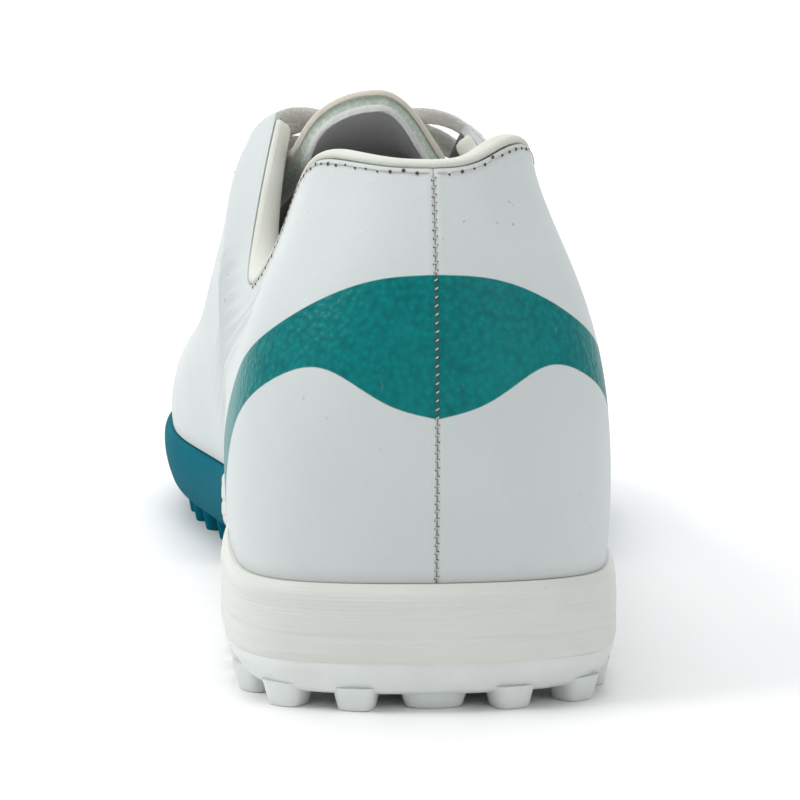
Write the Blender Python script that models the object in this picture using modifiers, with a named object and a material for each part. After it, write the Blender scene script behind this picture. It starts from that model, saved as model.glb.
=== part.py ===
"""Turf shoe for the right foot, as separate solids in its own frame.

+Y points to the toe, +X to the outer (lateral) side and +Z up. The origin is under the middle of
the sole's box, on the floor that the studs stand on. Inside the functions, y is measured from the
back of the sole. A station runs from 0 at the heel to 1 at the toe.
"""
import math

import bmesh
import bpy
import numpy as np

# Sole plan
LENGTH = 0.288
HEEL_WIDTH = 0.071
WAIST_WIDTH = 0.068
BALL_WIDTH = 0.100
TOE_WIDTH = 0.0775

# Sole heights above the floor
STUD_HEIGHT = 0.004
SOLE_HEIGHT = 0.022
FOREFOOT_DROP = 0.0025
TOE_SPRING = 0.009
HEEL_BEVEL = 0.0012
ARCH_RISE = 0.003
HEEL_RUBBER = 0.0047
FOREFOOT_RUBBER = 0.003
RAND_WALL = 0.0032
RUBBER_SPLIT = 0.144

# Upper
WALL = 0.002
FEATHER_INSET = 0.0016
LASTING_MARGIN = 0.008
COLLAR_HEIGHT = 0.092
COLLAR_WIDTH = 0.060
INSTEP_HEIGHT = 0.101
THROAT_GAP = 0.038
THROAT_LENGTH = 0.080

# Parts inside and over the upper
COLLAR_PAD = 0.0062
COLLAR_DEPTH = 0.034
COLLAR_ROLL = 0.0024
COLLAR_CLEARANCE = 0.0005
TONGUE_THICKNESS = 0.0045
TONGUE_RISE = 0.012
TONGUE_SLOPE = 0.012
TONGUE_CLEARANCE = 0.0008
TONGUE_TUCK = 0.0034
TONGUE_CROWN = 0.45
INSOLE_THICKNESS = 0.004
INSOLE_CLEARANCE = 0.0012
LACE_WIDTH = 0.0065
LACE_THICKNESS = 0.0014
LACE_CLEARANCE = 0.0008
EYELET_PAIRS = 6
EYELET_INSET = 0.0085
EYELET_MARGIN = 0.0060

# Studs
STUD_WIDTH = 0.0085
HEEL_STUD_WIDTH = 0.0135
STUD_PITCH = 0.0128
STUD_TAPER = 0.76
STUD_SIDES = 6
STUD_ROOT = 0.0012
HEEL_STUD_EDGE = 0.0052
STUD_EDGE = 0.0088

GAP = 0.0003
LATERAL = 1
MEDIAL = -1

# Edge of the sole, seen from above. Each side is a share of the row's width.
SOLE_PLAN = (
    # station, width, medial, lateral
    (0.004, HEEL_WIDTH, 0.200, 0.196),
    (0.012, HEEL_WIDTH, 0.318, 0.308),
    (0.028, HEEL_WIDTH, 0.412, 0.402),
    (0.055, HEEL_WIDTH, 0.470, 0.456),
    (0.110, HEEL_WIDTH, 0.497, 0.487),
    (0.200, HEEL_WIDTH, 0.495, 0.505),
    (0.340, WAIST_WIDTH, 0.470, 0.540),
    (0.460, WAIST_WIDTH, 0.470, 0.606),
    (0.590, BALL_WIDTH, 0.380, 0.495),
    (0.680, BALL_WIDTH, 0.432, 0.545),
    (0.745, BALL_WIDTH, 0.447, 0.553),
    (0.830, BALL_WIDTH, 0.435, 0.507),
    (0.900, TOE_WIDTH, 0.492, 0.512),
    (0.955, TOE_WIDTH, 0.378, 0.340),
    (0.987, TOE_WIDTH, 0.226, 0.158),
)
TOE_TIP = -0.040

# Edge of the collar. Along is a share of the length, out of the collar width, up of its height.
COLLAR = (
    # station, along, medial out, lateral out, medial up, lateral up
    (0.000, 0.0310, 0.000, 0.000, 1.000, 1.000),
    (0.010, 0.0400, 0.142, 0.135, 1.003, 1.010),
    (0.030, 0.0590, 0.245, 0.228, 1.010, 1.034),
    (0.065, 0.0930, 0.330, 0.310, 0.998, 1.024),
    (0.115, 0.1450, 0.377, 0.350, 0.916, 0.950),
    (0.175, 0.1950, 0.425, 0.412, 0.806, 0.845),
    (0.240, 0.2500, 0.488, 0.505, 0.720, 0.712),
    (0.295, 0.2990, 0.485, 0.478, 0.770, 0.742),
    (0.340, 0.3400, 0.437, 0.395, 0.915, 0.870),
)
CORNER = 0.385

# Crest over the instep and the toe box, with the swell of the side below it. Across, reach and
# lean are shares of the ball width, and rise of the height from the feather to the crest.
CREST = (
    # station, along, across, height, medial reach, rise, lean, lateral reach, rise, lean
    (0.330, 0.322, -0.036, 1.080, 0.330, 0.72, 0.062, 0.215, 0.62, 0.030),
    (0.385, 0.377, -0.037, 1.010, 0.330, 0.72, 0.064, 0.220, 0.62, 0.030),
    (0.450, 0.446, -0.034, 0.905, 0.345, 0.70, 0.068, 0.240, 0.58, 0.030),
    (0.550, 0.548, -0.032, 0.770, 0.350, 0.63, 0.060, 0.270, 0.54, 0.025),
    (0.650, 0.645, -0.040, 0.655, 0.310, 0.52, 0.025, 0.300, 0.50, 0.015),
    (0.750, 0.742, -0.048, 0.578, 0.280, 0.46, 0.010, 0.310, 0.48, 0.010),
    (0.850, 0.828, -0.050, 0.522, 0.265, 0.48, 0.015, 0.290, 0.49, 0.015),
    (0.940, 0.885, -0.045, 0.482, 0.230, 0.52, 0.020, 0.250, 0.52, 0.020),
    (1.000, 0.910, -0.042, 0.462, 0.165, 0.55, 0.022, 0.165, 0.55, 0.022),
)

# Padding of the collar from the heel seam to the corner of the throat
PAD = (
    # station, thickness, depth
    (0.000, 0.62, 1.00),
    (0.120, 0.85, 0.92),
    (0.240, 1.00, 0.55),
    (0.330, 0.66, 0.62),
    (0.385, 0.42, 0.60),
)


def spline(places, values):
    """A natural cubic curve through rows of values."""
    s = np.asarray(places, float)
    v = np.asarray(values, float)
    v = v.reshape(len(s), -1)
    h = np.diff(s)
    matrix = np.eye(len(s))
    right = np.zeros_like(v)
    for k in range(1, len(s) - 1):
        matrix[k, k - 1:k + 2] = (h[k - 1], 2 * (h[k - 1] + h[k]), h[k])
        right[k] = 6 * ((v[k + 1] - v[k]) / h[k] - (v[k] - v[k - 1]) / h[k - 1])
    bend = np.linalg.solve(matrix, right)

    def at(q):
        k = int(np.clip(np.searchsorted(s, q) - 1, 0, len(s) - 2))
        a = (s[k + 1] - q) / h[k]
        b = (q - s[k]) / h[k]
        curve = (a ** 3 - a) * bend[k] + (b ** 3 - b) * bend[k + 1]
        return a * v[k] + b * v[k + 1] + curve * h[k] ** 2 / 6

    return at


def turn(station):
    """Stations are spread round each end of the shoe as an angle, from 0 to pi."""
    return math.acos(1 - 2 * min(max(station, 0.0), 1.0))


def station_of(angle):
    return (1 - math.cos(angle)) / 2


def ease(low, high, value):
    share = min(max((value - low) / (high - low), 0.0), 1.0)
    return share * share * (3 - 2 * share)


PLAN_ROWS = [(0.0, 0.0, 0.0)]
PLAN_ROWS += [(row[0], -row[1] * row[2], row[1] * row[3]) for row in SOLE_PLAN]
PLAN_ROWS += [(1.0, TOE_TIP * TOE_WIDTH, TOE_TIP * TOE_WIDTH)]
PLAN_CURVE = spline([turn(row[0]) for row in PLAN_ROWS], [row[1:] for row in PLAN_ROWS])


def plan(side, angle):
    """A point of the sole's edge from above, and its outward direction."""
    step = 0.002
    across = PLAN_CURVE(angle)[0 if side == MEDIAL else 1]
    ahead = PLAN_CURVE(angle + step)[0 if side == MEDIAL else 1]
    behind = PLAN_CURVE(angle - step)[0 if side == MEDIAL else 1]
    slope_x = (ahead - behind) / (2 * step)
    slope_y = LENGTH * math.sin(angle) / 2
    size = math.hypot(slope_x, slope_y)
    out = np.array([side * slope_y / size, -side * slope_x / size, 0.0])
    return np.array([across, LENGTH * station_of(angle), 0.0]), out


def underside(station):
    """Height of the rubber between the studs."""
    bevel = HEEL_BEVEL * (1 - ease(0.0, 0.10, station))
    arch = ARCH_RISE * ease(0.24, 0.36, station) * (1 - ease(0.44, 0.56, station))
    spring = TOE_SPRING * max(0.0, (station - 0.74) / 0.26) ** 2
    return STUD_HEIGHT + arch + spring - bevel


def bite(station):
    """Height of the line where the upper meets the sole."""
    drop = FOREFOOT_DROP * ease(0.20, 0.60, station)
    spring = TOE_SPRING * max(0.0, (station - 0.70) / 0.30) ** 2
    return SOLE_HEIGHT - drop + 0.8 * spring


def rubber_line(station):
    """Height of the line where the heel rubber meets the midsole."""
    return underside(station) + HEEL_RUBBER + HEEL_BEVEL * (1 - ease(0.0, 0.10, station))


PAD_CURVE = spline([turn(row[0]) for row in PAD], [row[1:] for row in PAD])
CREST_CURVE = spline([turn(row[0]) for row in CREST], [row[1:] for row in CREST])


def collar_rows(side, out, up):
    """Points of the collar's edge, from the columns of one side."""
    return [(side * row[out] * COLLAR_WIDTH, row[1] * LENGTH, row[up] * COLLAR_HEIGHT)
            for row in COLLAR]


def feather(side, angle):
    """Lower edge of the upper, resting on the sole."""
    point, out = plan(side, angle)
    point = point - FEATHER_INSET * out
    point[2] = bite(station_of(angle)) + GAP
    return point, out


def full_arch(side, angle):
    """Four control points from the feather up to the crest over the foot."""
    low, out = feather(side, angle)
    along, across, height = CREST_CURVE(angle)[:3]
    reach, rise, lean = CREST_CURVE(angle)[3:6] if side == MEDIAL else CREST_CURVE(angle)[6:]
    ahead = CREST_CURVE(angle + 0.01)
    behind = CREST_CURVE(angle - 0.01)
    slope = (ahead[2] - behind[2]) * INSTEP_HEIGHT / ((ahead[0] - behind[0]) * LENGTH)
    crest = np.array([across * BALL_WIDTH, along * LENGTH, height * INSTEP_HEIGHT])
    knee = low + lean * BALL_WIDTH * out + np.array([0, 0, rise * (crest[2] - low[2])])
    shoulder = crest + reach * BALL_WIDTH * np.array([out[0], out[1], slope * out[1]])
    return np.array([low, knee, shoulder, crest])


def on_curve(control, share):
    a = 1 - share
    return a ** 3 * control[0] + 3 * a * a * share * control[1] \
        + 3 * a * share * share * control[2] + share ** 3 * control[3]


def trimmed(control, share):
    """The lower part of a curve, cut at a share of its length."""
    first = [control[k] * (1 - share) + control[k + 1] * share for k in range(3)]
    second = [first[k] * (1 - share) + first[k + 1] * share for k in range(2)]
    third = second[0] * (1 - share) + second[1] * share
    return np.array([control[0], first[0], second[0], third])


def throat_half(station):
    """Half the throat's width. Its front end is round."""
    along = (station - CORNER) * LENGTH / THROAT_LENGTH
    if along >= 1:
        return 0.0
    narrow = 0.5 * THROAT_GAP * (1 - 0.40 * min(along, 1.0))
    start = 0.86
    if along < start:
        return narrow
    return narrow * math.sqrt(max(0.0, 1 - ((along - start) / (1 - start)) ** 2))


def throat_cut(side, angle):
    """Share of the full arch where the throat's edge cuts it."""
    half = throat_half(station_of(angle))
    control = full_arch(side, angle)
    if half <= 0:
        return 1.0
    low, high = 0.3, 1.0
    for _ in range(40):
        middle = (low + high) / 2
        if abs(on_curve(control, middle)[0] - control[3][0]) > half:
            low = middle
        else:
            high = middle
    return low


CORNER_ANGLE = turn(CORNER)
THROAT_END = turn(CORNER + THROAT_LENGTH / LENGTH)
AT_CORNER = {}
COLLAR_CURVE = {}
for SIDE, EDGE_ROWS in ((MEDIAL, collar_rows(MEDIAL, 2, 4)), (LATERAL, collar_rows(LATERAL, 3, 5))):
    AT_CORNER[SIDE] = trimmed(full_arch(SIDE, CORNER_ANGLE), throat_cut(SIDE, CORNER_ANGLE))
    COLLAR_CURVE[SIDE] = spline([turn(row[0]) for row in COLLAR] + [CORNER_ANGLE],
                                EDGE_ROWS + [tuple(AT_CORNER[SIDE][3])])


def section(side, angle):
    """Control points of the upper's outer skin, from the feather to its free edge or the crest."""
    station = station_of(angle)
    if station >= CORNER - 1e-9:
        return trimmed(full_arch(side, angle), throat_cut(side, angle))
    low, out = feather(side, angle)
    edge = COLLAR_CURVE[side](angle)
    height = edge[2] - low[2]
    heel = 1 - ease(0.0, 0.09, station)
    knee = np.array([0, 0, (0.66 - 0.24 * heel) * height]) + (0.0042 - 0.0012 * heel) * out
    shoulder = (0.0015 + 0.0083 * heel) * out - np.array([0, 0, (0.21 + 0.17 * heel) * height])
    blend = ease(0.25, CORNER, station)
    at_corner = AT_CORNER[side]
    knee = knee * (1 - blend) + (at_corner[1] - at_corner[0]) * blend
    shoulder = shoulder * (1 - blend) + (at_corner[2] - at_corner[3]) * blend
    return np.array([low, low + knee, edge + shoulder, edge])


def skin(side, angle, share):
    return on_curve(section(side, angle), share)


def normal_on(surface, side, angle, share):
    """Outward direction of a surface given by a function of side, angle and share."""
    step = 0.004
    low_angle = max(angle - step, 0.0)
    high_angle = min(angle + step, math.pi)
    low_share = max(share - step, 0.0)
    high_share = min(share + step, 1.0)
    along = surface(side, high_angle, share) - surface(side, low_angle, share)
    up = surface(side, angle, high_share) - surface(side, angle, low_share)
    if min(angle, math.pi - angle) < step:
        along = np.array([side * (1 if angle < 1 else -1), 0.0, 0.0])
    direction = side * np.cross(along, up)
    return direction / np.linalg.norm(direction)


def angles_between(start, end, count, crowd=0.0):
    """Angles from start to end, closer together near the end where crowd is above 0."""
    shares = [k / count for k in range(count + 1)]
    return [start + (end - start) * (s + crowd * s * (1 - s)) for s in shares]


def new_mesh(name, points, faces):
    mesh = bpy.data.meshes.new(name)
    mesh.from_pydata([tuple(p) for p in points], [], faces)
    return mesh


def add_object(name, mesh, collection, colour=None, roughness=0.5):
    thing = bpy.data.objects.new(name, mesh)
    collection.objects.link(thing)
    if colour is not None:
        material = bpy.data.materials.new(name)
        material.use_nodes = True
        shader = material.node_tree.nodes["Principled BSDF"]
        shader.inputs["Base Color"].default_value = (*colour, 1.0)
        shader.inputs["Roughness"].default_value = roughness
        shader.inputs["Metallic"].default_value = 0.0
        mesh.materials.append(material)
    return thing


def tidy(mesh):
    """Joins doubled points and turns the faces outward."""
    form = bmesh.new()
    form.from_mesh(mesh)
    bmesh.ops.remove_doubles(form, verts=form.verts, dist=1e-6)
    bmesh.ops.dissolve_degenerate(form, edges=form.edges, dist=1e-7)
    bmesh.ops.recalc_face_normals(form, faces=form.faces)
    form.to_mesh(mesh)
    form.free()


def shade(thing, angle=40):
    thing.data.shade_smooth()
    thing.data.set_sharp_from_angle(angle=math.radians(angle))


def grid_mesh(name, rows, closed=False):
    """A sheet of quads over rows of points. Closed joins the last row to the first."""
    width = len(rows[0])
    points = [p for row in rows for p in row]
    faces = []
    for i in range(len(rows) if closed else len(rows) - 1):
        j = (i + 1) % len(rows)
        for k in range(width - 1):
            faces.append((i * width + k, i * width + k + 1, j * width + k + 1, j * width + k))
    mesh = new_mesh(name, points, faces)
    tidy(mesh)
    return mesh


WALL_STEPS = 8


def upper_angles():
    back = angles_between(0.0, CORNER_ANGLE, 20, 0.15)
    middle = angles_between(CORNER_ANGLE, THROAT_END, 13, 0.7)
    front = angles_between(THROAT_END, math.pi, 13, -0.1)
    return back + middle[1:] + front[1:]


def make_upper(collection):
    """The lasted shell: lasting margin turned under the foot, walls, collar and throat edges."""
    shares = [k / WALL_STEPS for k in range(WALL_STEPS + 1)]
    rows = []
    for side, angles in ((LATERAL, upper_angles()), (MEDIAL, upper_angles()[-2:0:-1])):
        for angle in angles:
            low, out = feather(side, angle)
            margin = low - LASTING_MARGIN * out
            margin[2] = bite(margin[1] / LENGTH) + GAP
            control = section(side, angle)
            rows.append([margin] + [on_curve(control, s) for s in shares])
    mesh = grid_mesh("upper", rows, closed=True)
    upper = add_object("upper", mesh, collection, (0.80, 0.82, 0.82), 0.42)
    wall = upper.modifiers.new("wall", 'SOLIDIFY')
    wall.thickness = WALL
    wall.offset = -1
    wall.use_even_offset = True
    wall.use_quality_normals = True
    shade(upper)
    return upper


def depth_share(side, angle, depth):
    """Share of the section that lies a depth below its free edge, measured along the skin."""
    control = section(side, angle)
    steps = 40
    line = [on_curve(control, 1 - k / steps) for k in range(steps + 1)]
    walked = [0.0]
    for here, there in zip(line, line[1:]):
        walked.append(walked[-1] + float(np.linalg.norm(there - here)))
    return 1 - float(np.interp(depth, walked, [k / steps for k in range(steps + 1)]))


def edge_direction(side, angle):
    """Direction of the free edge, from the heel to the toe."""
    if angle < 0.008:
        return np.array([side, 0.0, 0.0])
    return skin(side, angle, 1.0) - skin(side, angle - 0.008, 1.0)


def collar_point(side, angle, depth, inset):
    """A point inside the collar, by its depth under the free edge and its inset from the skin."""
    share = depth_share(side, angle, max(depth, 0.0))
    point = skin(side, angle, share)
    out = normal_on(skin, side, angle, share)
    if depth < 0:
        up = side * np.cross(edge_direction(side, angle), out)
        point = point + depth * up / np.linalg.norm(up)
    return point - inset * out


def make_collar(collection):
    """Padded lining inside the collar, rolled over its free edge."""
    inner = WALL + COLLAR_CLEARANCE
    rim = COLLAR_CLEARANCE
    angles = angles_between(0.0, CORNER_ANGLE, 20, 0.15)
    rows = []
    for side, run in ((LATERAL, angles[::-1]), (MEDIAL, angles[1:])):
        for angle in run:
            thickness, reach = PAD_CURVE(angle)
            pad = COLLAR_PAD * thickness
            deep = COLLAR_DEPTH * reach
            roll = COLLAR_ROLL * (0.6 + 0.4 * thickness)
            loop = (
                (-rim - 0.05 * roll, 0.25 * inner),
                (-rim - 0.75 * roll, 0.50 * inner),
                (-rim - 1.00 * roll, inner + 0.25 * pad),
                (-rim - 0.72 * roll, inner + 0.65 * pad),
                (0.10 * pad, inner + 0.93 * pad),
                (0.12 * deep + 0.4 * pad, inner + 1.00 * pad),
                (0.50 * deep, inner + 0.80 * pad),
                (0.80 * deep, inner + 0.45 * pad),
                (deep, inner + 0.30 * pad),
                (deep, inner),
                (0.66 * deep, inner),
                (0.33 * deep, inner),
                (0.0, inner),
                (-rim, inner),
            )
            rows.append([collar_point(side, angle, depth, inset) for depth, inset in loop])
    width = len(rows[0])
    points = [p for row in rows for p in row]
    faces = []
    for i in range(len(rows) - 1):
        for k in range(width):
            n = (k + 1) % width
            faces.append((i * width + k, i * width + n, (i + 1) * width + n, (i + 1) * width + k))
    faces.append(tuple(range(width)))
    faces.append(tuple((len(rows) - 1) * width + k for k in reversed(range(width))))
    mesh = new_mesh("collar_lining", points, faces)
    tidy(mesh)
    collar = add_object("collar_lining", mesh, collection, (0.76, 0.75, 0.66), 0.85)
    shade(collar)
    return collar


TONGUE_TOP = turn(CORNER - TONGUE_RISE / LENGTH)
TONGUE_SIDE = turn(CORNER + TONGUE_SLOPE / LENGTH)
TONGUE_FOOT = turn(CORNER + THROAT_LENGTH / LENGTH + 0.03)
TONGUE_STEPS = 8
TONGUE_ROWS = 11


def arch_skin(side, angle, share):
    return on_curve(full_arch(side, angle), share)


def arch_normal(side, angle, share):
    """Outward direction of the arch, the same from both sides on its crest."""
    out = normal_on(arch_skin, side, angle, share)
    if share > 0.98:
        out = out + normal_on(arch_skin, -side, angle, share)
    return out / np.linalg.norm(out)


def tongue_tuck(angle):
    """Extra inset of the tongue where the collar's padding passes beside it."""
    pad = COLLAR_PAD * PAD_CURVE(min(angle, CORNER_ANGLE))[0] + TONGUE_TUCK
    return pad * (1 - ease(CORNER, CORNER + 0.06, station_of(angle)))


def tongue_point(side, along, across):
    """Across runs from 0 at the tongue's side to 1 on its crest."""
    start = TONGUE_SIDE + (TONGUE_TOP - TONGUE_SIDE) * across * (2 - across)
    angle = start + (TONGUE_FOOT - start) * along
    tuck = tongue_tuck(angle) * (1 - (1 - TONGUE_CROWN) * ease(0.35, 1.00, across))
    inset = WALL + TONGUE_CLEARANCE + tuck
    flank = 0.45 + 0.22 * ease(CORNER, 0.62, station_of(angle))
    share = flank + (1 - flank) * across
    return arch_skin(side, angle, share) - inset * arch_normal(side, angle, share)


def make_tongue(collection):
    """Padded tongue, bent to the arch of the instep under the throat's edges."""
    across = [k / TONGUE_STEPS for k in range(TONGUE_STEPS + 1)]
    rows = []
    for step in range(TONGUE_ROWS + 1):
        along = step / TONGUE_ROWS
        row = [tongue_point(MEDIAL, along, share) for share in across]
        row += [tongue_point(LATERAL, along, share) for share in across[-2::-1]]
        rows.append(row)
    mesh = grid_mesh("tongue", rows)
    form = bmesh.new()
    form.from_mesh(mesh)
    if sum(face.normal.z for face in form.faces) < 0:
        bmesh.ops.reverse_faces(form, faces=form.faces)
    form.to_mesh(mesh)
    form.free()
    tongue = add_object("tongue", mesh, collection, (0.72, 0.71, 0.62), 0.9)
    body = tongue.modifiers.new("padding", 'SOLIDIFY')
    body.thickness = TONGUE_THICKNESS
    body.offset = -1
    body.use_even_offset = True
    shade(tongue)
    return tongue


def arch_point(angle, across, lift):
    """A point of the lace's bed: across runs from -1 at the medial eyelets to 1 at the lateral."""
    side = LATERAL if across >= 0 else MEDIAL
    control = full_arch(side, angle)
    cut = throat_cut(side, angle)
    reach = EYELET_INSET / (EYELET_INSET + throat_half(station_of(angle)))
    eyelet = cut * depth_share(side, angle, EYELET_INSET)
    if abs(across) > 1 - reach:
        share = cut + (eyelet - cut) * (abs(across) - 1 + reach) / reach
    else:
        share = 1 + (cut - 1) * abs(across) / (1 - reach)
    sag = WALL + TONGUE_CLEARANCE + TONGUE_CROWN * tongue_tuck(angle)
    sag *= 1 - ease(0.0, 0.9 * (1 - reach), abs(across))
    out = arch_normal(side, angle, share)
    return on_curve(control, share) + (LACE_CLEARANCE - sag + lift) * out, out


def eyelet_angle(pair):
    """Pairs of eyelets from the throat's corner, 0, down to its front end."""
    first = CORNER + EYELET_MARGIN / LENGTH
    last = CORNER + (THROAT_LENGTH - 1.4 * EYELET_MARGIN) / LENGTH
    return turn(first + (last - first) * pair / (EYELET_PAIRS - 1))


def strip(form, start, end, first_side, layer, hump):
    """One flat run of lace from an eyelet to one on the other side. Layer and hump, in thicknesses,
    lift all of it and its middle, where it crosses another run."""
    steps = 8
    line = []
    for k in range(steps + 1):
        u = k / steps
        across = first_side * (1 - 2 * u)
        lift = LACE_THICKNESS * (0.5 + layer + hump * math.exp(-((u - 0.5) / 0.16) ** 2))
        line.append(arch_point(start + (end - start) * u, across, lift))
    rings = []
    for k, (point, out) in enumerate(line):
        ahead = line[min(k + 1, steps)][0] - line[max(k - 1, 0)][0]
        wide = np.cross(ahead, out)
        wide = wide / np.linalg.norm(wide) * LACE_WIDTH / 2
        thick = out * LACE_THICKNESS / 2
        corners = (wide + thick, wide - thick, -wide - thick, -wide + thick)
        rings.append([form.verts.new(tuple(point + corner)) for corner in corners])
    for low, high in zip(rings, rings[1:]):
        for k in range(4):
            n = (k + 1) % 4
            form.faces.new((low[k], low[n], high[n], high[k]))
    form.faces.new(rings[0][::-1])
    form.faces.new(rings[-1])


def make_laces(collection, cutters):
    """Flat lace crossing between the pairs of eyelets, joined where the runs meet."""
    runs = [(EYELET_PAIRS - 1, EYELET_PAIRS - 1, LATERAL, -0.25, 0.0)]
    for pair in range(EYELET_PAIRS - 1):
        runs.append((pair + 1, pair, LATERAL, 0.0, 0.0))
        runs.append((pair + 1, pair, MEDIAL, 0.45, 0.4))
    laces = None
    for number, (low, high, first_side, layer, hump) in enumerate(runs):
        form = bmesh.new()
        strip(form, eyelet_angle(low), eyelet_angle(high), first_side, layer, hump)
        bmesh.ops.recalc_face_normals(form, faces=form.faces)
        mesh = bpy.data.meshes.new(f"lace_run_{number}")
        form.to_mesh(mesh)
        form.free()
        if laces is None:
            laces = add_object("laces", mesh, collection, (0.80, 0.82, 0.81), 0.8)
        else:
            add_union(laces, as_cutter(f"lace_run_{number}", mesh, cutters))
    shade(laces)
    return laces


def ring(angles, offset, height):
    """One level of a sole layer: the plan's edge moved out by offset, at height."""
    points = []
    for side, run in ((LATERAL, angles), (MEDIAL, angles[::-1])):
        for angle in run:
            point, out = plan(side, angle)
            if 0.35 < station_of(angle) < 0.65:
                out = np.array([1 / out[0], 0.0, 0.0])
            point = point + offset(angle) * out
            point[2] = height(angle, point[1] / LENGTH)
            points.append(point)
    return points


def layer_mesh(name, angles, levels):
    """A closed layer from its lowest ring to its highest, with ladders of quads as caps."""
    count = 2 * len(angles)
    points = [p for offset, height in levels for p in ring(angles, offset, height)]
    faces = []
    for level in range(len(levels) - 1):
        base = level * count
        for k in range(count):
            n = (k + 1) % count
            faces.append((base + k, base + n, base + count + n, base + count + k))
    for base, flip in ((0, False), ((len(levels) - 1) * count, True)):
        for k in range(len(angles) - 1):
            face = (base + k, base + count - 1 - k, base + count - 2 - k, base + k + 1)
            faces.append(face[::-1] if flip else face)
    mesh = new_mesh(name, points, faces)
    tidy(mesh)
    return mesh


def steady(value):
    return lambda angle: value


def between(share, gap=0.0):
    """A height a share of the way from the rubber line up to the bite line."""
    def height(angle, station):
        low = rubber_line(station) + gap
        return low + share * (bite(station) - low)
    return height


SPLIT_ANGLE = turn(RUBBER_SPLIT / LENGTH)
BEHIND_SPLIT = turn((RUBBER_SPLIT - GAP) / LENGTH)


def midsole_angles():
    return angles_between(0.0, BEHIND_SPLIT, 20) + angles_between(BEHIND_SPLIT + 1e-6, math.pi, 16)


def make_midsole(collection):
    """White foam wedge: its side shows behind the split, in front it lies inside the rubber."""
    rows = (
        # height share, edge offset
        (0.00, -0.0002), (0.28, 0.0), (0.34, -0.0005), (0.40, 0.0),
        (0.70, -0.0001), (0.90, -0.0006), (1.00, -0.0012),
    )
    levels = []
    for share, bulge in rows:
        def offset(angle, bulge=bulge):
            return bulge if angle <= BEHIND_SPLIT + 1e-7 else -(RAND_WALL + GAP)

        def height(angle, station, share=share):
            if angle <= BEHIND_SPLIT + 1e-7:
                return between(share, GAP)(angle, station)
            low = underside(station) + FOREFOOT_RUBBER + GAP
            return low + share * (bite(station) - low)
        levels.append((offset, height))
    mesh = layer_mesh("midsole", midsole_angles(), levels)
    midsole = add_object("midsole", mesh, collection, (0.83, 0.83, 0.80), 0.6)
    shade(midsole)
    return midsole


def add_union(thing, tool):
    join = thing.modifiers.new("join", 'BOOLEAN')
    join.operation = 'UNION'
    join.solver = 'EXACT'
    join.object = tool


def add_cut(thing, tool):
    cut = thing.modifiers.new("cut", 'BOOLEAN')
    cut.operation = 'DIFFERENCE'
    cut.solver = 'EXACT'
    cut.object = tool


def as_cutter(name, mesh, collection):
    tool = add_object(name, mesh, collection)
    tool.hide_render = True
    tool.display_type = 'WIRE'
    return tool


def edge_studs_between(low, high, edge):
    """Places and widths of the studs along the edge, between two stations."""
    studs = []
    for side in (LATERAL, MEDIAL):
        line = []
        for angle in angles_between(0.0, math.pi, 400):
            point, out = plan(side, angle)
            line.append((angle, point - edge * out))
        travelled = 0.0
        for (_, here), (angle, there) in zip(line, line[1:]):
            if not low <= station_of(angle) <= high:
                continue
            travelled += float(np.linalg.norm(there - here))
            if travelled >= STUD_PITCH:
                travelled -= STUD_PITCH
                studs.append((there[0], there[1], STUD_WIDTH))
    return studs


def inner_studs(low, high, edge, edge_studs):
    """Rows of studs inside the edge row, every second row moved by half a pitch."""
    studs = []
    row_pitch = 0.9 * STUD_PITCH
    row = 0
    y = (low + 0.02) * LENGTH + STUD_PITCH
    while y < high * LENGTH:
        angle = turn(y / LENGTH)
        left = plan(MEDIAL, angle)[0][0] + edge
        right = plan(LATERAL, angle)[0][0] - edge
        middle = (left + right) / 2
        count = int((right - left) / STUD_PITCH) + 2
        for k in range(-count, count + 1):
            x = middle + (k + 0.5 * (row % 2)) * STUD_PITCH
            near = min(math.hypot(x - s[0], y - s[1]) for s in edge_studs)
            if left < x < right and near > 0.92 * STUD_PITCH:
                studs.append((x, y, 0.86 * STUD_WIDTH))
        y += row_pitch
        row += 1
    return studs


def stud_mesh(name, studs):
    """Tapered studs with flat tips, each rooted in the rubber above it."""
    form = bmesh.new()
    for x, y, width in studs:
        station = y / LENGTH
        top = underside(station) + STUD_ROOT
        tip = underside(station) - STUD_HEIGHT if station > 0.70 else 0.0
        height = top - tip
        made = bmesh.ops.create_cone(form, cap_ends=True, segments=STUD_SIDES,
                                     radius1=STUD_TAPER * width / 2, radius2=width / 2,
                                     depth=height)
        spin = math.pi / STUD_SIDES
        for vert in made["verts"]:
            turned_x = vert.co.x * math.cos(spin) - vert.co.y * math.sin(spin)
            turned_y = vert.co.x * math.sin(spin) + vert.co.y * math.cos(spin)
            vert.co = (turned_x + x, turned_y + y, vert.co.z + tip + height / 2)
    mesh = bpy.data.meshes.new(name)
    form.to_mesh(mesh)
    form.free()
    return mesh


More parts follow.
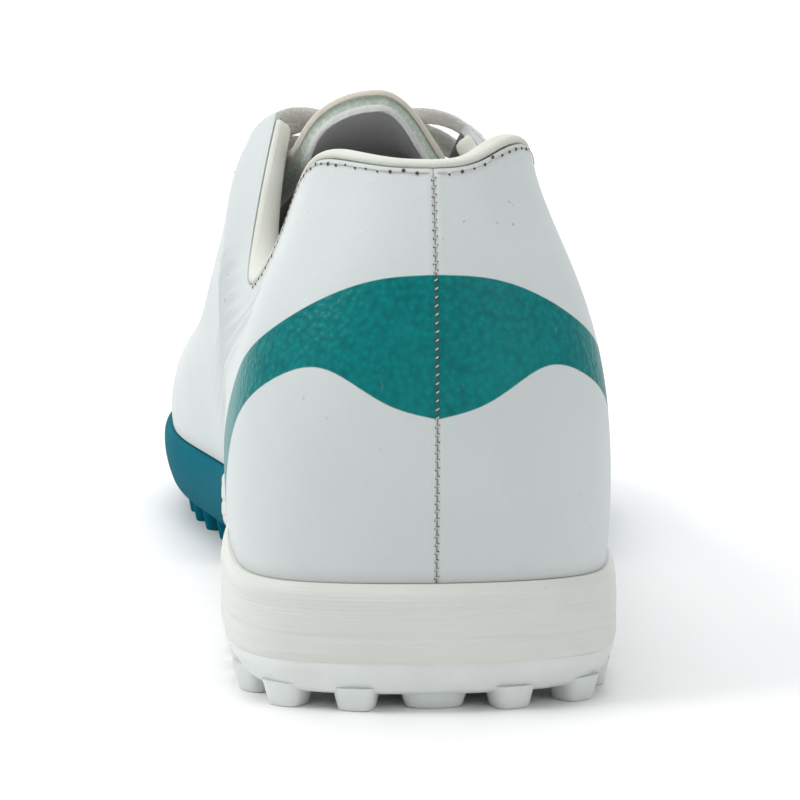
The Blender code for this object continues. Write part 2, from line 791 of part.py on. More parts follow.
def make_heel_outsole(collection, cutters):
    """White rubber under the heel and waist, with its studs."""
    rows = (
        # share of the way up to the rubber line, edge offset
        (0.00, -0.0034), (0.20, -0.0020), (0.55, -0.0009), (1.00, -0.0003),
    )
    levels = []
    for share, inset in rows:
        def height(angle, station, share=share):
            low = underside(station)
            return low + share * (rubber_line(station) - low)
        levels.append((steady(inset), height))
    mesh = layer_mesh("outsole_heel", angles_between(0.0, BEHIND_SPLIT, 20), levels)
    outsole = add_object("outsole_heel", mesh, collection, (0.74, 0.78, 0.76), 0.35)
    edge = edge_studs_between(0.0, 0.36, HEEL_STUD_EDGE)
    point, out = plan(LATERAL, 0.0)
    centre = point - (HEEL_STUD_EDGE + (HEEL_STUD_WIDTH - STUD_WIDTH) / 2) * out
    edge.append((centre[0], centre[1], HEEL_STUD_WIDTH))
    studs = edge + inner_studs(0.02, 0.33, HEEL_STUD_EDGE, edge)
    studs += waist_studs(0.455, RUBBER_SPLIT / LENGTH)
    tool = as_cutter("heel_studs", stud_mesh("heel_studs", studs), cutters)
    add_union(outsole, tool)
    shade(outsole, 30)
    return outsole


def waist_studs(low, high):
    """One row of studs across the waist, where the arch comes down."""
    y = (low + high) / 2 * LENGTH
    angle = turn(y / LENGTH)
    left = plan(MEDIAL, angle)[0][0] + HEEL_STUD_EDGE
    right = plan(LATERAL, angle)[0][0] - HEEL_STUD_EDGE
    count = max(2, int((right - left) / STUD_PITCH))
    return [(left + (right - left) * k / count, y, 0.9 * STUD_WIDTH) for k in range(count + 1)]


def make_forefoot_outsole(collection, cutters):
    """Coloured rubber: a cup round the front of the midsole, with its studs."""
    rows = (
        # share of the way up to the bite line, edge offset
        (0.00, -0.0056), (0.10, -0.0034), (0.30, -0.0014), (0.55, -0.0003),
        (0.80, 0.0), (0.93, -0.0006), (1.00, -0.0014),
    )
    levels = []
    for share, inset in rows:
        def height(angle, station, share=share):
            low = underside(station)
            return low + share * (bite(station) - low)
        levels.append((steady(inset), height))
    angles = angles_between(SPLIT_ANGLE, math.pi, 24)
    mesh = layer_mesh("outsole_forefoot", angles, levels)
    outsole = add_object("outsole_forefoot", mesh, collection, (0.02, 0.22, 0.30), 0.4)
    past = 0.004
    inner_angles = [turn((RUBBER_SPLIT - past) / LENGTH)] + angles_between(SPLIT_ANGLE, math.pi, 16)
    floor = (
        (steady(-RAND_WALL), lambda angle, station: underside(station) + FOREFOOT_RUBBER),
        (steady(-RAND_WALL), lambda angle, station: bite(station) + past),
    )
    cup = as_cutter("forefoot_cup", layer_mesh("forefoot_cup", inner_angles, floor), cutters)
    add_cut(outsole, cup)
    edge = edge_studs_between(RUBBER_SPLIT / LENGTH + 0.012, 0.985, STUD_EDGE)
    studs = edge + inner_studs(RUBBER_SPLIT / LENGTH, 0.96, STUD_EDGE, edge)
    tool = as_cutter("forefoot_studs", stud_mesh("forefoot_studs", studs), cutters)
    add_union(outsole, tool)
    shade(outsole, 30)
    return outsole


def make_insole(collection):
    """Sock liner on the lasting margin, inside the walls."""
    inset = -(FEATHER_INSET + WALL + INSOLE_CLEARANCE)

    def seat(share):
        return lambda angle, station: bite(station) + 2 * GAP + WALL + share * INSOLE_THICKNESS
    levels = (
        (steady(inset), seat(0.0)),
        (steady(inset), seat(0.7)),
        (steady(inset - 0.0010), seat(1.0)),
    )
    mesh = layer_mesh("insole", angles_between(0.0, math.pi, 32), levels)
    insole = add_object("insole", mesh, collection, (0.10, 0.11, 0.12), 0.9)
    shade(insole)
    return insole


def clear_scene():
    for thing in list(bpy.data.objects):
        bpy.data.objects.remove(thing, do_unlink=True)


def move_to_origin(things):
    """Puts the middle of the sole's plan over the origin."""
    angles = angles_between(0.0, math.pi, 400)
    right = max(plan(LATERAL, angle)[0][0] for angle in angles)
    left = min(plan(MEDIAL, angle)[0][0] for angle in angles)
    for thing in things:
        thing.location = (-(left + right) / 2, -LENGTH / 2, 0.0)


def main():
    clear_scene()
    parts = bpy.data.collections.new("turf_shoe")
    cutters = bpy.data.collections.new("cutters")
    for collection in (parts, cutters):
        bpy.context.scene.collection.children.link(collection)
    things = [
        make_heel_outsole(parts, cutters),
        make_forefoot_outsole(parts, cutters),
        make_midsole(parts),
        make_insole(parts),
        make_upper(parts),
        make_collar(parts),
        make_tongue(parts),
        make_laces(parts, cutters),
    ]
    move_to_origin(things + list(cutters.objects))


main()
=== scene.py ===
"""Looks of the right turf shoe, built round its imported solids.

Lengths are in metres. Inside the functions x is 0 at the heel seam and y is measured from the
back of the sole, as in the part's source; SHIFT moves a finished piece over the origin.
A station runs from 0 at the heel to 1 at the toe.
"""
import math
from functools import lru_cache

import bpy
import numpy as np
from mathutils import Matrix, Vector


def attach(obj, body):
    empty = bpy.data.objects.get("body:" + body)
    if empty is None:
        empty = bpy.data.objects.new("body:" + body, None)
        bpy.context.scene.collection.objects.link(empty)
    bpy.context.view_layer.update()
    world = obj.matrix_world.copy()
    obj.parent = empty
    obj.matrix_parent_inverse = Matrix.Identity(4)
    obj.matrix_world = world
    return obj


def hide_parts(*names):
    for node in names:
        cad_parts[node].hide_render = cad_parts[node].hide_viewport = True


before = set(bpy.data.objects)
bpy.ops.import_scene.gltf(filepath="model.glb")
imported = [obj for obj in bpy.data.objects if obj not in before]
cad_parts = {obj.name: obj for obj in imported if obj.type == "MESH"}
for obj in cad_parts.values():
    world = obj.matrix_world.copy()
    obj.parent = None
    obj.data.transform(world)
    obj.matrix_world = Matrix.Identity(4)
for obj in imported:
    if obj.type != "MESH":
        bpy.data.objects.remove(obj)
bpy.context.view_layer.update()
MM = 0.001

# Sizes of the part
LENGTH = 0.288
HEEL_WIDTH = 0.071
WAIST_WIDTH = 0.068
BALL_WIDTH = 0.100
TOE_WIDTH = 0.0775
STUD_HEIGHT = 0.004
SOLE_HEIGHT = 0.022
FOREFOOT_DROP = 0.0025
TOE_SPRING = 0.009
HEEL_BEVEL = 0.0012
ARCH_RISE = 0.003
HEEL_RUBBER = 0.0047
FOREFOOT_RUBBER = 0.003
RAND_WALL = 0.0032
RUBBER_SPLIT = 0.144
WALL = 0.002
FEATHER_INSET = 0.0016
LASTING_MARGIN = 0.008
COLLAR_HEIGHT = 0.092
COLLAR_WIDTH = 0.060
INSTEP_HEIGHT = 0.101
THROAT_GAP = 0.038
THROAT_LENGTH = 0.080
COLLAR_PAD = 0.0062
COLLAR_DEPTH = 0.034
COLLAR_ROLL = 0.0024
COLLAR_CLEARANCE = 0.0005
TONGUE_THICKNESS = 0.0045
TONGUE_RISE = 0.012
TONGUE_SLOPE = 0.012
TONGUE_CLEARANCE = 0.0008
TONGUE_TUCK = 0.0034
TONGUE_CROWN = 0.45
LACE_WIDTH = 0.0065
LACE_THICKNESS = 0.0014
LACE_CLEARANCE = 0.0008
EYELET_PAIRS = 6
EYELET_INSET = 0.0085
EYELET_MARGIN = 0.0060
STUD_WIDTH = 0.0085
HEEL_STUD_WIDTH = 0.0135
STUD_PITCH = 0.0128
STUD_ROOT = 0.0012
HEEL_STUD_EDGE = 0.0052
STUD_EDGE = 0.0088
GAP = 0.0003
CORNER = 0.385
TOE_TIP = -0.040
LATERAL = 1
MEDIAL = -1

# Sizes of the details
PLEAT_PITCH = 0.0041
SEAM_PITCH = 0.00145
COLLAR_STITCH_PITCH = 0.00235
COLLAR_STITCH_DEPTH = 0.0008
COLLAR_STITCH_END = 0.225
THROAT_STITCH_PITCH = 0.0023
THROAT_STITCH_DEPTHS = (0.0022, 0.014)
# The leather lies this far inside the solid's skin, so that its relief stays within the box
RELIEF_DEPTH = 0.14 * MM

SOLE_PLAN = (
    # station, width, medial, lateral
    (0.004, HEEL_WIDTH, 0.200, 0.196),
    (0.012, HEEL_WIDTH, 0.318, 0.308),
    (0.028, HEEL_WIDTH, 0.412, 0.402),
    (0.055, HEEL_WIDTH, 0.470, 0.456),
    (0.110, HEEL_WIDTH, 0.497, 0.487),
    (0.200, HEEL_WIDTH, 0.495, 0.505),
    (0.340, WAIST_WIDTH, 0.470, 0.540),
    (0.460, WAIST_WIDTH, 0.470, 0.606),
    (0.590, BALL_WIDTH, 0.380, 0.495),
    (0.680, BALL_WIDTH, 0.432, 0.545),
    (0.745, BALL_WIDTH, 0.447, 0.553),
    (0.830, BALL_WIDTH, 0.435, 0.507),
    (0.900, TOE_WIDTH, 0.492, 0.512),
    (0.955, TOE_WIDTH, 0.378, 0.340),
    (0.987, TOE_WIDTH, 0.226, 0.158),
)
COLLAR = (
    # station, along, medial out, lateral out, medial up, lateral up
    (0.000, 0.0310, 0.000, 0.000, 1.000, 1.000),
    (0.010, 0.0400, 0.142, 0.135, 1.003, 1.010),
    (0.030, 0.0590, 0.245, 0.228, 1.010, 1.034),
    (0.065, 0.0930, 0.330, 0.310, 0.998, 1.024),
    (0.115, 0.1450, 0.377, 0.350, 0.916, 0.950),
    (0.175, 0.1950, 0.425, 0.412, 0.806, 0.845),
    (0.240, 0.2500, 0.488, 0.505, 0.720, 0.712),
    (0.295, 0.2990, 0.485, 0.478, 0.770, 0.742),
    (0.340, 0.3400, 0.437, 0.395, 0.915, 0.870),
)
CREST = (
    # station, along, across, height, medial reach, rise, lean, lateral reach, rise, lean
    (0.330, 0.322, -0.036, 1.080, 0.330, 0.72, 0.062, 0.215, 0.62, 0.030),
    (0.385, 0.377, -0.037, 1.010, 0.330, 0.72, 0.064, 0.220, 0.62, 0.030),
    (0.450, 0.446, -0.034, 0.905, 0.345, 0.70, 0.068, 0.240, 0.58, 0.030),
    (0.550, 0.548, -0.032, 0.770, 0.350, 0.63, 0.060, 0.270, 0.54, 0.025),
    (0.650, 0.645, -0.040, 0.655, 0.310, 0.52, 0.025, 0.300, 0.50, 0.015),
    (0.750, 0.742, -0.048, 0.578, 0.280, 0.46, 0.010, 0.310, 0.48, 0.010),
    (0.850, 0.828, -0.050, 0.522, 0.265, 0.48, 0.015, 0.290, 0.49, 0.015),
    (0.940, 0.885, -0.045, 0.482, 0.230, 0.52, 0.020, 0.250, 0.52, 0.020),
    (1.000, 0.910, -0.042, 0.462, 0.165, 0.55, 0.022, 0.165, 0.55, 0.022),
)
PAD = (
    # station, thickness, depth
    (0.000, 0.62, 1.00),
    (0.120, 0.85, 0.92),
    (0.240, 1.00, 0.55),
    (0.330, 0.66, 0.62),
    (0.385, 0.42, 0.60),
)
BAND = (
    # distance round the heel from the seam, lower edge and upper edge of the coloured band
    (0.000, 0.0505, 0.0745),
    (0.009, 0.0532, 0.0738),
    (0.019, 0.0585, 0.0708),
    (0.029, 0.0570, 0.0664),
    (0.043, 0.0495, 0.0598),
    (0.056, 0.0395, 0.0530),
    (0.070, 0.0265, 0.0445),
    (0.090, 0.0060, 0.0305),
    (0.120, -0.027, 0.0060),
)
FLEX_CREASES = (
    # along, depth and half width in millimetres
    (0.184, 0.50, 2.6),
    (0.1935, 0.62, 2.2),
    (0.204, 0.45, 2.4),
    (0.215, 0.25, 3.0),
)
CREASE_MIDDLE = -0.004
# The photograph's camera, in its pixels: focal length, the point straight ahead at eye level,
# the point that the render centres, and the width that the render shows
FOCAL_PIXELS = 2612
AHEAD_PIXEL = (400, 49)
CENTRED_PIXEL = (600, 400)
SHOWN_PIXELS = 640
EYE = (-0.0476, -0.539, 0.1263)


def spline(places, values):
    """A natural cubic curve through rows of values."""
    s = np.asarray(places, float)
    v = np.asarray(values, float)
    v = v.reshape(len(s), -1)
    h = np.diff(s)
    matrix = np.eye(len(s))
    right = np.zeros_like(v)
    for k in range(1, len(s) - 1):
        matrix[k, k - 1:k + 2] = (h[k - 1], 2 * (h[k - 1] + h[k]), h[k])
        right[k] = 6 * ((v[k + 1] - v[k]) / h[k] - (v[k] - v[k - 1]) / h[k - 1])
    bend = np.linalg.solve(matrix, right)

    def at(q):
        k = int(np.clip(np.searchsorted(s, q) - 1, 0, len(s) - 2))
        a = (s[k + 1] - q) / h[k]
        b = (q - s[k]) / h[k]
        curve = (a ** 3 - a) * bend[k] + (b ** 3 - b) * bend[k + 1]
        return a * v[k] + b * v[k + 1] + curve * h[k] ** 2 / 6

    return at


def turn(station):
    return math.acos(1 - 2 * min(max(station, 0.0), 1.0))


def station_of(angle):
    return (1 - math.cos(angle)) / 2


def ease(low, high, value):
    share = np.clip((value - low) / (high - low), 0.0, 1.0)
    return share * share * (3 - 2 * share)


def unit(vector):
    return vector / np.linalg.norm(vector)


def distances(line):
    """Distance walked from the first point of a line to each of its points."""
    return np.concatenate([[0], np.cumsum(np.linalg.norm(np.diff(line, axis=0), axis=1))])


def circle(count, power=1.0, other_power=1.0):
    """Cosine and sine round a circle. Powers under 1 square it off."""
    found = []
    for k in range(count):
        pair = (math.cos(2 * math.pi * k / count), math.sin(2 * math.pi * k / count))
        found.append([math.copysign(abs(value) ** exponent, value)
                      for value, exponent in zip(pair, (power, other_power))])
    return found


PLAN_ROWS = [(0.0, 0.0, 0.0)]
PLAN_ROWS += [(row[0], -row[1] * row[2], row[1] * row[3]) for row in SOLE_PLAN]
PLAN_ROWS += [(1.0, TOE_TIP * TOE_WIDTH, TOE_TIP * TOE_WIDTH)]
PLAN_CURVE = spline([turn(row[0]) for row in PLAN_ROWS], [row[1:] for row in PLAN_ROWS])
PAD_CURVE = spline([turn(row[0]) for row in PAD], [row[1:] for row in PAD])
CREST_CURVE = spline([turn(row[0]) for row in CREST], [row[1:] for row in CREST])


@lru_cache(maxsize=None)
def plan(side, angle):
    """A point of the sole's edge from above, and its outward direction."""
    step = 0.002
    k = 0 if side == MEDIAL else 1
    slope_x = (PLAN_CURVE(angle + step)[k] - PLAN_CURVE(angle - step)[k]) / (2 * step)
    slope_y = LENGTH * math.sin(angle) / 2
    size = math.hypot(slope_x, slope_y)
    out = np.array([side * slope_y / size, -side * slope_x / size, 0.0])
    return np.array([PLAN_CURVE(angle)[k], LENGTH * station_of(angle), 0.0]), out


def underside(station):
    """Height of the rubber between the studs."""
    bevel = HEEL_BEVEL * (1 - ease(0.0, 0.10, station))
    arch = ARCH_RISE * ease(0.24, 0.36, station) * (1 - ease(0.44, 0.56, station))
    spring = TOE_SPRING * max(0.0, (station - 0.74) / 0.26) ** 2
    return STUD_HEIGHT + arch + spring - bevel


def bite(station):
    """Height of the line where the upper meets the sole."""
    drop = FOREFOOT_DROP * ease(0.20, 0.60, station)
    spring = TOE_SPRING * max(0.0, (station - 0.70) / 0.30) ** 2
    return SOLE_HEIGHT - drop + 0.8 * spring


def rubber_line(station):
    """Height of the line where the heel rubber meets the midsole."""
    return underside(station) + HEEL_RUBBER + HEEL_BEVEL * (1 - ease(0.0, 0.10, station))


def feather(side, angle):
    """Lower edge of the upper, resting on the sole."""
    point, out = plan(side, angle)
    point = point - FEATHER_INSET * out
    point[2] = bite(station_of(angle)) + GAP
    return point, out


@lru_cache(maxsize=None)
def full_arch(side, angle):
    """Four control points from the feather up to the crest over the foot."""
    low, out = feather(side, angle)
    along, across, height = CREST_CURVE(angle)[:3]
    reach, rise, lean = CREST_CURVE(angle)[3:6] if side == MEDIAL else CREST_CURVE(angle)[6:]
    ahead = CREST_CURVE(angle + 0.01)
    behind = CREST_CURVE(angle - 0.01)
    slope = (ahead[2] - behind[2]) * INSTEP_HEIGHT / ((ahead[0] - behind[0]) * LENGTH)
    crest = np.array([across * BALL_WIDTH, along * LENGTH, height * INSTEP_HEIGHT])
    knee = low + lean * BALL_WIDTH * out + np.array([0, 0, rise * (crest[2] - low[2])])
    shoulder = crest + reach * BALL_WIDTH * np.array([out[0], out[1], slope * out[1]])
    return np.array([low, knee, shoulder, crest])


def on_curve(control, share):
    """Points of a cubic curve at one share or at an array of them."""
    s = np.asarray(share, float)[..., None]
    a = 1 - s
    return a ** 3 * control[0] + 3 * a * a * s * control[1] \
        + 3 * a * s * s * control[2] + s ** 3 * control[3]


def trimmed(control, share):
    first = [control[k] * (1 - share) + control[k + 1] * share for k in range(3)]
    second = [first[k] * (1 - share) + first[k + 1] * share for k in range(2)]
    third = second[0] * (1 - share) + second[1] * share
    return np.array([control[0], first[0], second[0], third])


def throat_half(station):
    """Half the throat's width. Its front end is round."""
    along = (station - CORNER) * LENGTH / THROAT_LENGTH
    if along >= 1:
        return 0.0
    narrow = 0.5 * THROAT_GAP * (1 - 0.40 * min(along, 1.0))
    start = 0.86
    if along < start:
        return narrow
    return narrow * math.sqrt(max(0.0, 1 - ((along - start) / (1 - start)) ** 2))


@lru_cache(maxsize=None)
def throat_cut(side, angle):
    """Share of the full arch where the throat's edge cuts it."""
    half = throat_half(station_of(angle))
    control = full_arch(side, angle)
    if half <= 0:
        return 1.0
    low, high = 0.3, 1.0
    for _ in range(40):
        middle = (low + high) / 2
        if abs(on_curve(control, middle)[0] - control[3][0]) > half:
            low = middle
        else:
            high = middle
    return low


def collar_rows(side, out, up):
    return [(side * row[out] * COLLAR_WIDTH, row[1] * LENGTH, row[up] * COLLAR_HEIGHT)
            for row in COLLAR]


CORNER_ANGLE = turn(CORNER)
THROAT_END = turn(CORNER + THROAT_LENGTH / LENGTH)
AT_CORNER = {}
COLLAR_CURVE = {}
for SIDE, EDGE_ROWS in ((MEDIAL, collar_rows(MEDIAL, 2, 4)), (LATERAL, collar_rows(LATERAL, 3, 5))):
    AT_CORNER[SIDE] = trimmed(full_arch(SIDE, CORNER_ANGLE), throat_cut(SIDE, CORNER_ANGLE))
    COLLAR_CURVE[SIDE] = spline([turn(row[0]) for row in COLLAR] + [CORNER_ANGLE],
                                EDGE_ROWS + [tuple(AT_CORNER[SIDE][3])])


@lru_cache(maxsize=None)
def section(side, angle):
    """Control points of the upper's outer skin, from the feather to its free edge or the crest."""
    station = station_of(angle)
    if station >= CORNER - 1e-9:
        return trimmed(full_arch(side, angle), throat_cut(side, angle))
    low, out = feather(side, angle)
    edge = COLLAR_CURVE[side](angle)
    height = edge[2] - low[2]
    heel = 1 - ease(0.0, 0.09, station)
    knee = np.array([0, 0, (0.66 - 0.24 * heel) * height]) + (0.0042 - 0.0012 * heel) * out
    shoulder = (0.0015 + 0.0083 * heel) * out - np.array([0, 0, (0.21 + 0.17 * heel) * height])
    blend = ease(0.25, CORNER, station)
    at_corner = AT_CORNER[side]
    knee = knee * (1 - blend) + (at_corner[1] - at_corner[0]) * blend
    shoulder = shoulder * (1 - blend) + (at_corner[2] - at_corner[3]) * blend
    return np.array([low, low + knee, edge + shoulder, edge])


def skin(side, angle, share):
    return on_curve(section(side, angle), share)


def arch_skin(side, angle, share):
    return on_curve(full_arch(side, angle), share)


def normal_on(surface, side, angle, share):
    """Outward direction of a surface given by a function of side, angle and share."""
    step = 0.004
    low_angle = max(angle - step, 0.0)
    high_angle = min(angle + step, math.pi)
    low_share = max(share - step, 0.0)
    high_share = min(share + step, 1.0)
    along = surface(side, high_angle, share) - surface(side, low_angle, share)
    up = surface(side, angle, high_share) - surface(side, angle, low_share)
    if min(angle, math.pi - angle) < step:
        along = np.array([side * (1 if angle < 1 else -1), 0.0, 0.0])
    return unit(side * np.cross(along, up))


def arch_normal(side, angle, share):
    """Outward direction of the arch, the same from both sides on its crest."""
    out = normal_on(arch_skin, side, angle, share)
    if share > 0.98:
        out = out + normal_on(arch_skin, -side, angle, share)
    return unit(out)


def depth_share(side, angle, depth):
    """Share of the section that lies a depth below its free edge, measured along the skin."""
    steps = 40
    line = on_curve(section(side, angle), 1 - np.arange(steps + 1) / steps)
    walked = distances(line)
    return 1 - float(np.interp(depth, walked, np.arange(steps + 1) / steps))


def plan_middle():
    """X of the middle of the sole's plan."""
    angles = [math.pi * k / 400 for k in range(401)]
    right = max(plan(LATERAL, angle)[0][0] for angle in angles)
    left = min(plan(MEDIAL, angle)[0][0] for angle in angles)
    return (left + right) / 2


SHIFT = np.array([-plan_middle(), -LENGTH / 2, 0.0])


# Materials

class Look:
    """A Principled material, with short ways to add nodes to it."""

    def __init__(self, name, roughness, specular=0.3, **sockets):
        self.material = bpy.data.materials.new(name)
        self.material.use_nodes = True
        self.tree = self.material.node_tree
        self.shader = self.tree.nodes["Principled BSDF"]
        self.shader.inputs["Roughness"].default_value = roughness
        for socket, value in sockets.items():
            self.shader.inputs[socket.replace("_", " ").title()].default_value = value
        self.shader.inputs["Specular IOR Level"].default_value = specular
        self.place = self.node("ShaderNodeTexCoord").outputs["Object"]

    def node(self, kind, inputs=(), **settings):
        made = self.tree.nodes.new(kind)
        for key, value in settings.items():
            setattr(made, key, value)
        for socket, value in dict(inputs).items():
            self.feed(made.inputs[socket], value)
        return made

    def feed(self, socket, value):
        """Link a node's output to a socket, or set the socket's own value."""
        if isinstance(value, bpy.types.NodeSocket):
            self.tree.links.new(value, socket)
        else:
            socket.default_value = (*value, 1.0) if socket.type == 'RGBA' else value

    def stretched(self, x, y, z):
        made = self.node("ShaderNodeMapping", {"Vector": self.place, "Scale": (x, y, z)})
        return made.outputs["Vector"]

    def noise(self, size, detail=2.0, place=None, rough=0.5):
        made = self.node("ShaderNodeTexNoise", {
            "Vector": place or self.place, "Scale": 1 / size, "Detail": detail,
            "Roughness": rough})
        return made.outputs["Fac"]

    def cells(self, size, feature='F1', place=None):
        made = self.node("ShaderNodeTexVoronoi", {
            "Vector": place or self.place, "Scale": 1 / size}, feature=feature)
        return made.outputs["Distance"]

    def span(self, value, low, high, to_low=0.0, to_high=1.0):
        made = self.node("ShaderNodeMapRange", {
            "Value": value, "From Min": low, "From Max": high,
            "To Min": to_low, "To Max": to_high}, clamp=True)
        return made.outputs["Result"]

    def sum(self, *parts):
        """Sum of (value, weight) pairs."""
        total = None
        for value, weight in parts:
            made = self.node("ShaderNodeMath", {0: value, 1: weight, 2: total or 0.0},
                             operation='MULTIPLY_ADD')
            total = made.outputs[0]
        return total

    def times(self, one, other):
        return self.node("ShaderNodeMath", {0: one, 1: other}, operation='MULTIPLY').outputs[0]

    def mix(self, factor, one, other):
        made = self.node("ShaderNodeMix", {0: factor, 6: one, 7: other}, data_type='RGBA')
        return made.outputs[2]

    def attribute(self, name):
        return self.node("ShaderNodeAttribute", attribute_name=name).outputs["Fac"]

    def colour(self, value):
        self.feed(self.shader.inputs["Base Color"], value)

    def gloss(self, value):
        self.feed(self.shader.inputs["Roughness"], value)

    def relief(self, height, depth, strength=1.0):
        made = self.node("ShaderNodeBump", {
            "Height": height, "Distance": depth, "Strength": strength})
        self.feed(self.shader.inputs["Normal"], made.outputs["Normal"])


LEATHER = (0.60, 0.64, 0.63)
TEAL = (0.001, 0.198, 0.193)
TEAL_DARK = (0.001, 0.124, 0.127)
CREAM = (0.65, 0.67, 0.605)
FOAM = (0.68, 0.695, 0.65)
RUBBER = (0.73, 0.76, 0.735)
TEAL_RUBBER = (0.001, 0.125, 0.172)
DIRT = (0.20, 0.165, 0.12)


def leather_look():
    """White coated leather with the coloured heel band, its grain, seam line and light marks, with
    painted shade along the sole and in the eyelet holes.
    """
    look = Look("white_leather", 0.44, 0.12, coat_weight=0.02, coat_roughness=0.35)
    band = look.span(look.attribute("band"), -0.10, 0.10)
    broad = look.noise(0.030, 3.0)
    white = look.mix(look.span(broad, 0.35, 0.7), LEATHER, tuple(0.94 * c for c in LEATHER))
    grain = look.cells(0.0011, 'SMOOTH_F1')
    fine = look.noise(0.0007, 4.0)
    teal = look.mix(look.span(grain, 0.1, 0.75), TEAL, TEAL_DARK)
    cloud = look.noise(0.012, 3.0)
    teal = look.mix(look.span(cloud, 0.42, 0.75, 0.0, 0.45), teal, (0.004, 0.218, 0.212))
    colour = look.mix(band, white, teal)
    specks = look.noise(0.0016, 2.0, rough=0.4)
    specks = look.times(look.span(specks, 0.735, 0.76), look.span(look.noise(0.011), 0.50, 0.62))
    colour = look.mix(look.times(specks, 0.45), colour, DIRT)
    scuff = look.noise(0.0035, 5.0, place=look.stretched(1.0, 1.0, 0.28), rough=0.7)
    scuff = look.times(look.span(scuff, 0.66, 0.72), look.span(look.noise(0.02), 0.52, 0.66))
    colour = look.mix(look.times(scuff, 0.22), colour, (0.50, 0.52, 0.51))
    # Painted shade: the leather darkens towards the sole, within 2.2 mm of where it meets the
    # midsole.
    low = look.span(look.attribute("rise"), 0.0, 2.2, 1.0, 0.0)
    colour = look.mix(look.times(low, 0.35), colour, (0.42, 0.42, 0.38))
    seam = look.span(look.attribute("seam"), 0.08, 0.22, 1.0, 0.0)
    colour = look.mix(look.times(seam, 0.72), colour, (0.095, 0.078, 0.060))
    # Painted shade: a near-black disc round each eyelet centre stands in for the dark inside of the
    # hole.
    hole = look.span(look.attribute("hole"), 1.55, 1.75, 1.0, 0.0)
    colour = look.mix(hole, colour, (0.03, 0.03, 0.03))
    look.colour(colour)
    look.gloss(look.sum((band, -0.09), (fine, 0.10), (look.span(broad, 0.3, 0.7), 0.05),
                        (1.0, 0.38)))
    pebble = look.times(look.span(grain, 0.0, 0.8), look.sum((band, 0.85), (1.0, 0.15)))
    pores = look.cells(0.00042)
    look.relief(look.sum((pebble, 1.0), (fine, 0.22), (pores, 0.10)), 0.00024, 0.75)
    return look.material


def inside_look():
    """Grey textile on the inside of the upper."""
    look = Look("inner_textile", 0.9, sheen_weight=0.15)
    weave = look.cells(0.0008)
    look.colour(look.mix(look.span(weave, 0.1, 0.7), (0.34, 0.35, 0.35), (0.22, 0.23, 0.23)))
    look.relief(weave, 0.0003, 0.6)
    return look.material


def cloth_look(name, colour, shadow, size):
    """Fine brushed lining cloth."""
    look = Look(name, 0.82, sheen_weight=0.15)
    nap = look.noise(size, 5.0, rough=0.65)
    broad = look.noise(0.014, 3.0)
    tint = look.mix(look.span(broad, 0.4, 0.75, 0.0, 0.6), colour, shadow)
    look.colour(look.mix(look.span(nap, 0.3, 0.8, 0.0, 0.35), tint, shadow))
    look.relief(nap, 0.00018, 0.6)
    return look.material


def foam_look():
    """Moulded foam with fine horizontal lines and faint marks."""
    look = Look("white_foam", 0.52)
    broad = look.noise(0.025, 3.0)
    lines = look.noise(0.0055, 3.0, place=look.stretched(0.35, 0.35, 11.0), rough=0.6)
    tint = look.mix(look.span(broad, 0.35, 0.75), FOAM, tuple(0.93 * c for c in FOAM))
    tint = look.mix(look.span(lines, 0.35, 0.75, 0.0, 0.28), tint, (0.58, 0.59, 0.55))
    marks = look.noise(0.0022, 3.0)
    marks = look.times(look.span(marks, 0.70, 0.74), look.span(look.noise(0.015), 0.52, 0.66))
    look.colour(look.mix(look.times(marks, 0.4), tint, (0.33, 0.29, 0.22)))
    look.relief(look.sum((lines, 1.0), (look.noise(0.0004), 0.2)), 0.00016, 0.7)
    return look.material


def rubber_look(name, colour, roughness=0.38, specular=0.3):
    """Moulded rubber, slightly mottled."""
    look = Look(name, roughness, specular)
    broad = look.noise(0.018, 4.0)
    grain = look.noise(0.0006, 3.0)
    tint = look.mix(look.span(broad, 0.35, 0.7), colour, tuple(0.88 * c for c in colour))
    dust = look.times(look.span(look.noise(0.0025, 4.0), 0.60, 0.75), 0.25)
    look.colour(look.mix(dust, tint, tuple(0.85 * c + 0.02 for c in colour)))
    look.gloss(look.sum((grain, 0.18), (1.0, roughness - 0.06)))
    look.relief(grain, 0.00010, 0.6)
    return look.material


def layered_look():
    """Tongue: beige cloth outside, grey-green foam in the edge, grey cloth inside; the inside face
    is darker than the lining's cut edge, partly the cloth's own grey and partly painted shade.
    """
    look = Look("tongue_layers", 0.86, sheen_weight=0.12)
    layer = look.attribute("layer")
    nap = look.noise(0.0005, 5.0, rough=0.65)
    outer = look.mix(look.span(nap, 0.3, 0.8, 0.0, 0.4), (0.62, 0.575, 0.50), (0.47, 0.43, 0.37))
    foam = look.mix(look.span(look.cells(0.0009), 0.1, 0.7), (0.62, 0.68, 0.60), (0.47, 0.54, 0.47))
    inner = look.mix(look.span(nap, 0.3, 0.8), (0.66, 0.67, 0.64), (0.50, 0.51, 0.49))
    # The inside face: the lining's own grey, made darker than its light cut edge by painted shade.
    grey = look.mix(look.span(nap, 0.3, 0.8), (0.47, 0.475, 0.475), (0.36, 0.365, 0.37))
    tint = look.mix(look.span(layer, 0.28, 0.34), outer, foam)
    tint = look.mix(look.span(layer, 0.66, 0.72), tint, inner)
    tint = look.mix(look.span(layer, 0.97, 1.10), tint, grey)
    look.colour(tint)
    look.relief(look.sum((nap, 0.6), (look.cells(0.0009), 0.5)), 0.00025, 0.6)
    return look.material


def lace_look():
    """Flat woven lace."""
    look = Look("lace_weave", 0.85, sheen_weight=0.2)
    weave = look.cells(0.0006)
    look.colour(look.mix(look.span(weave, 0.1, 0.7), (0.94, 0.945, 0.935), (0.82, 0.83, 0.82)))
    look.relief(weave, 0.0003, 0.8)
    return look.material


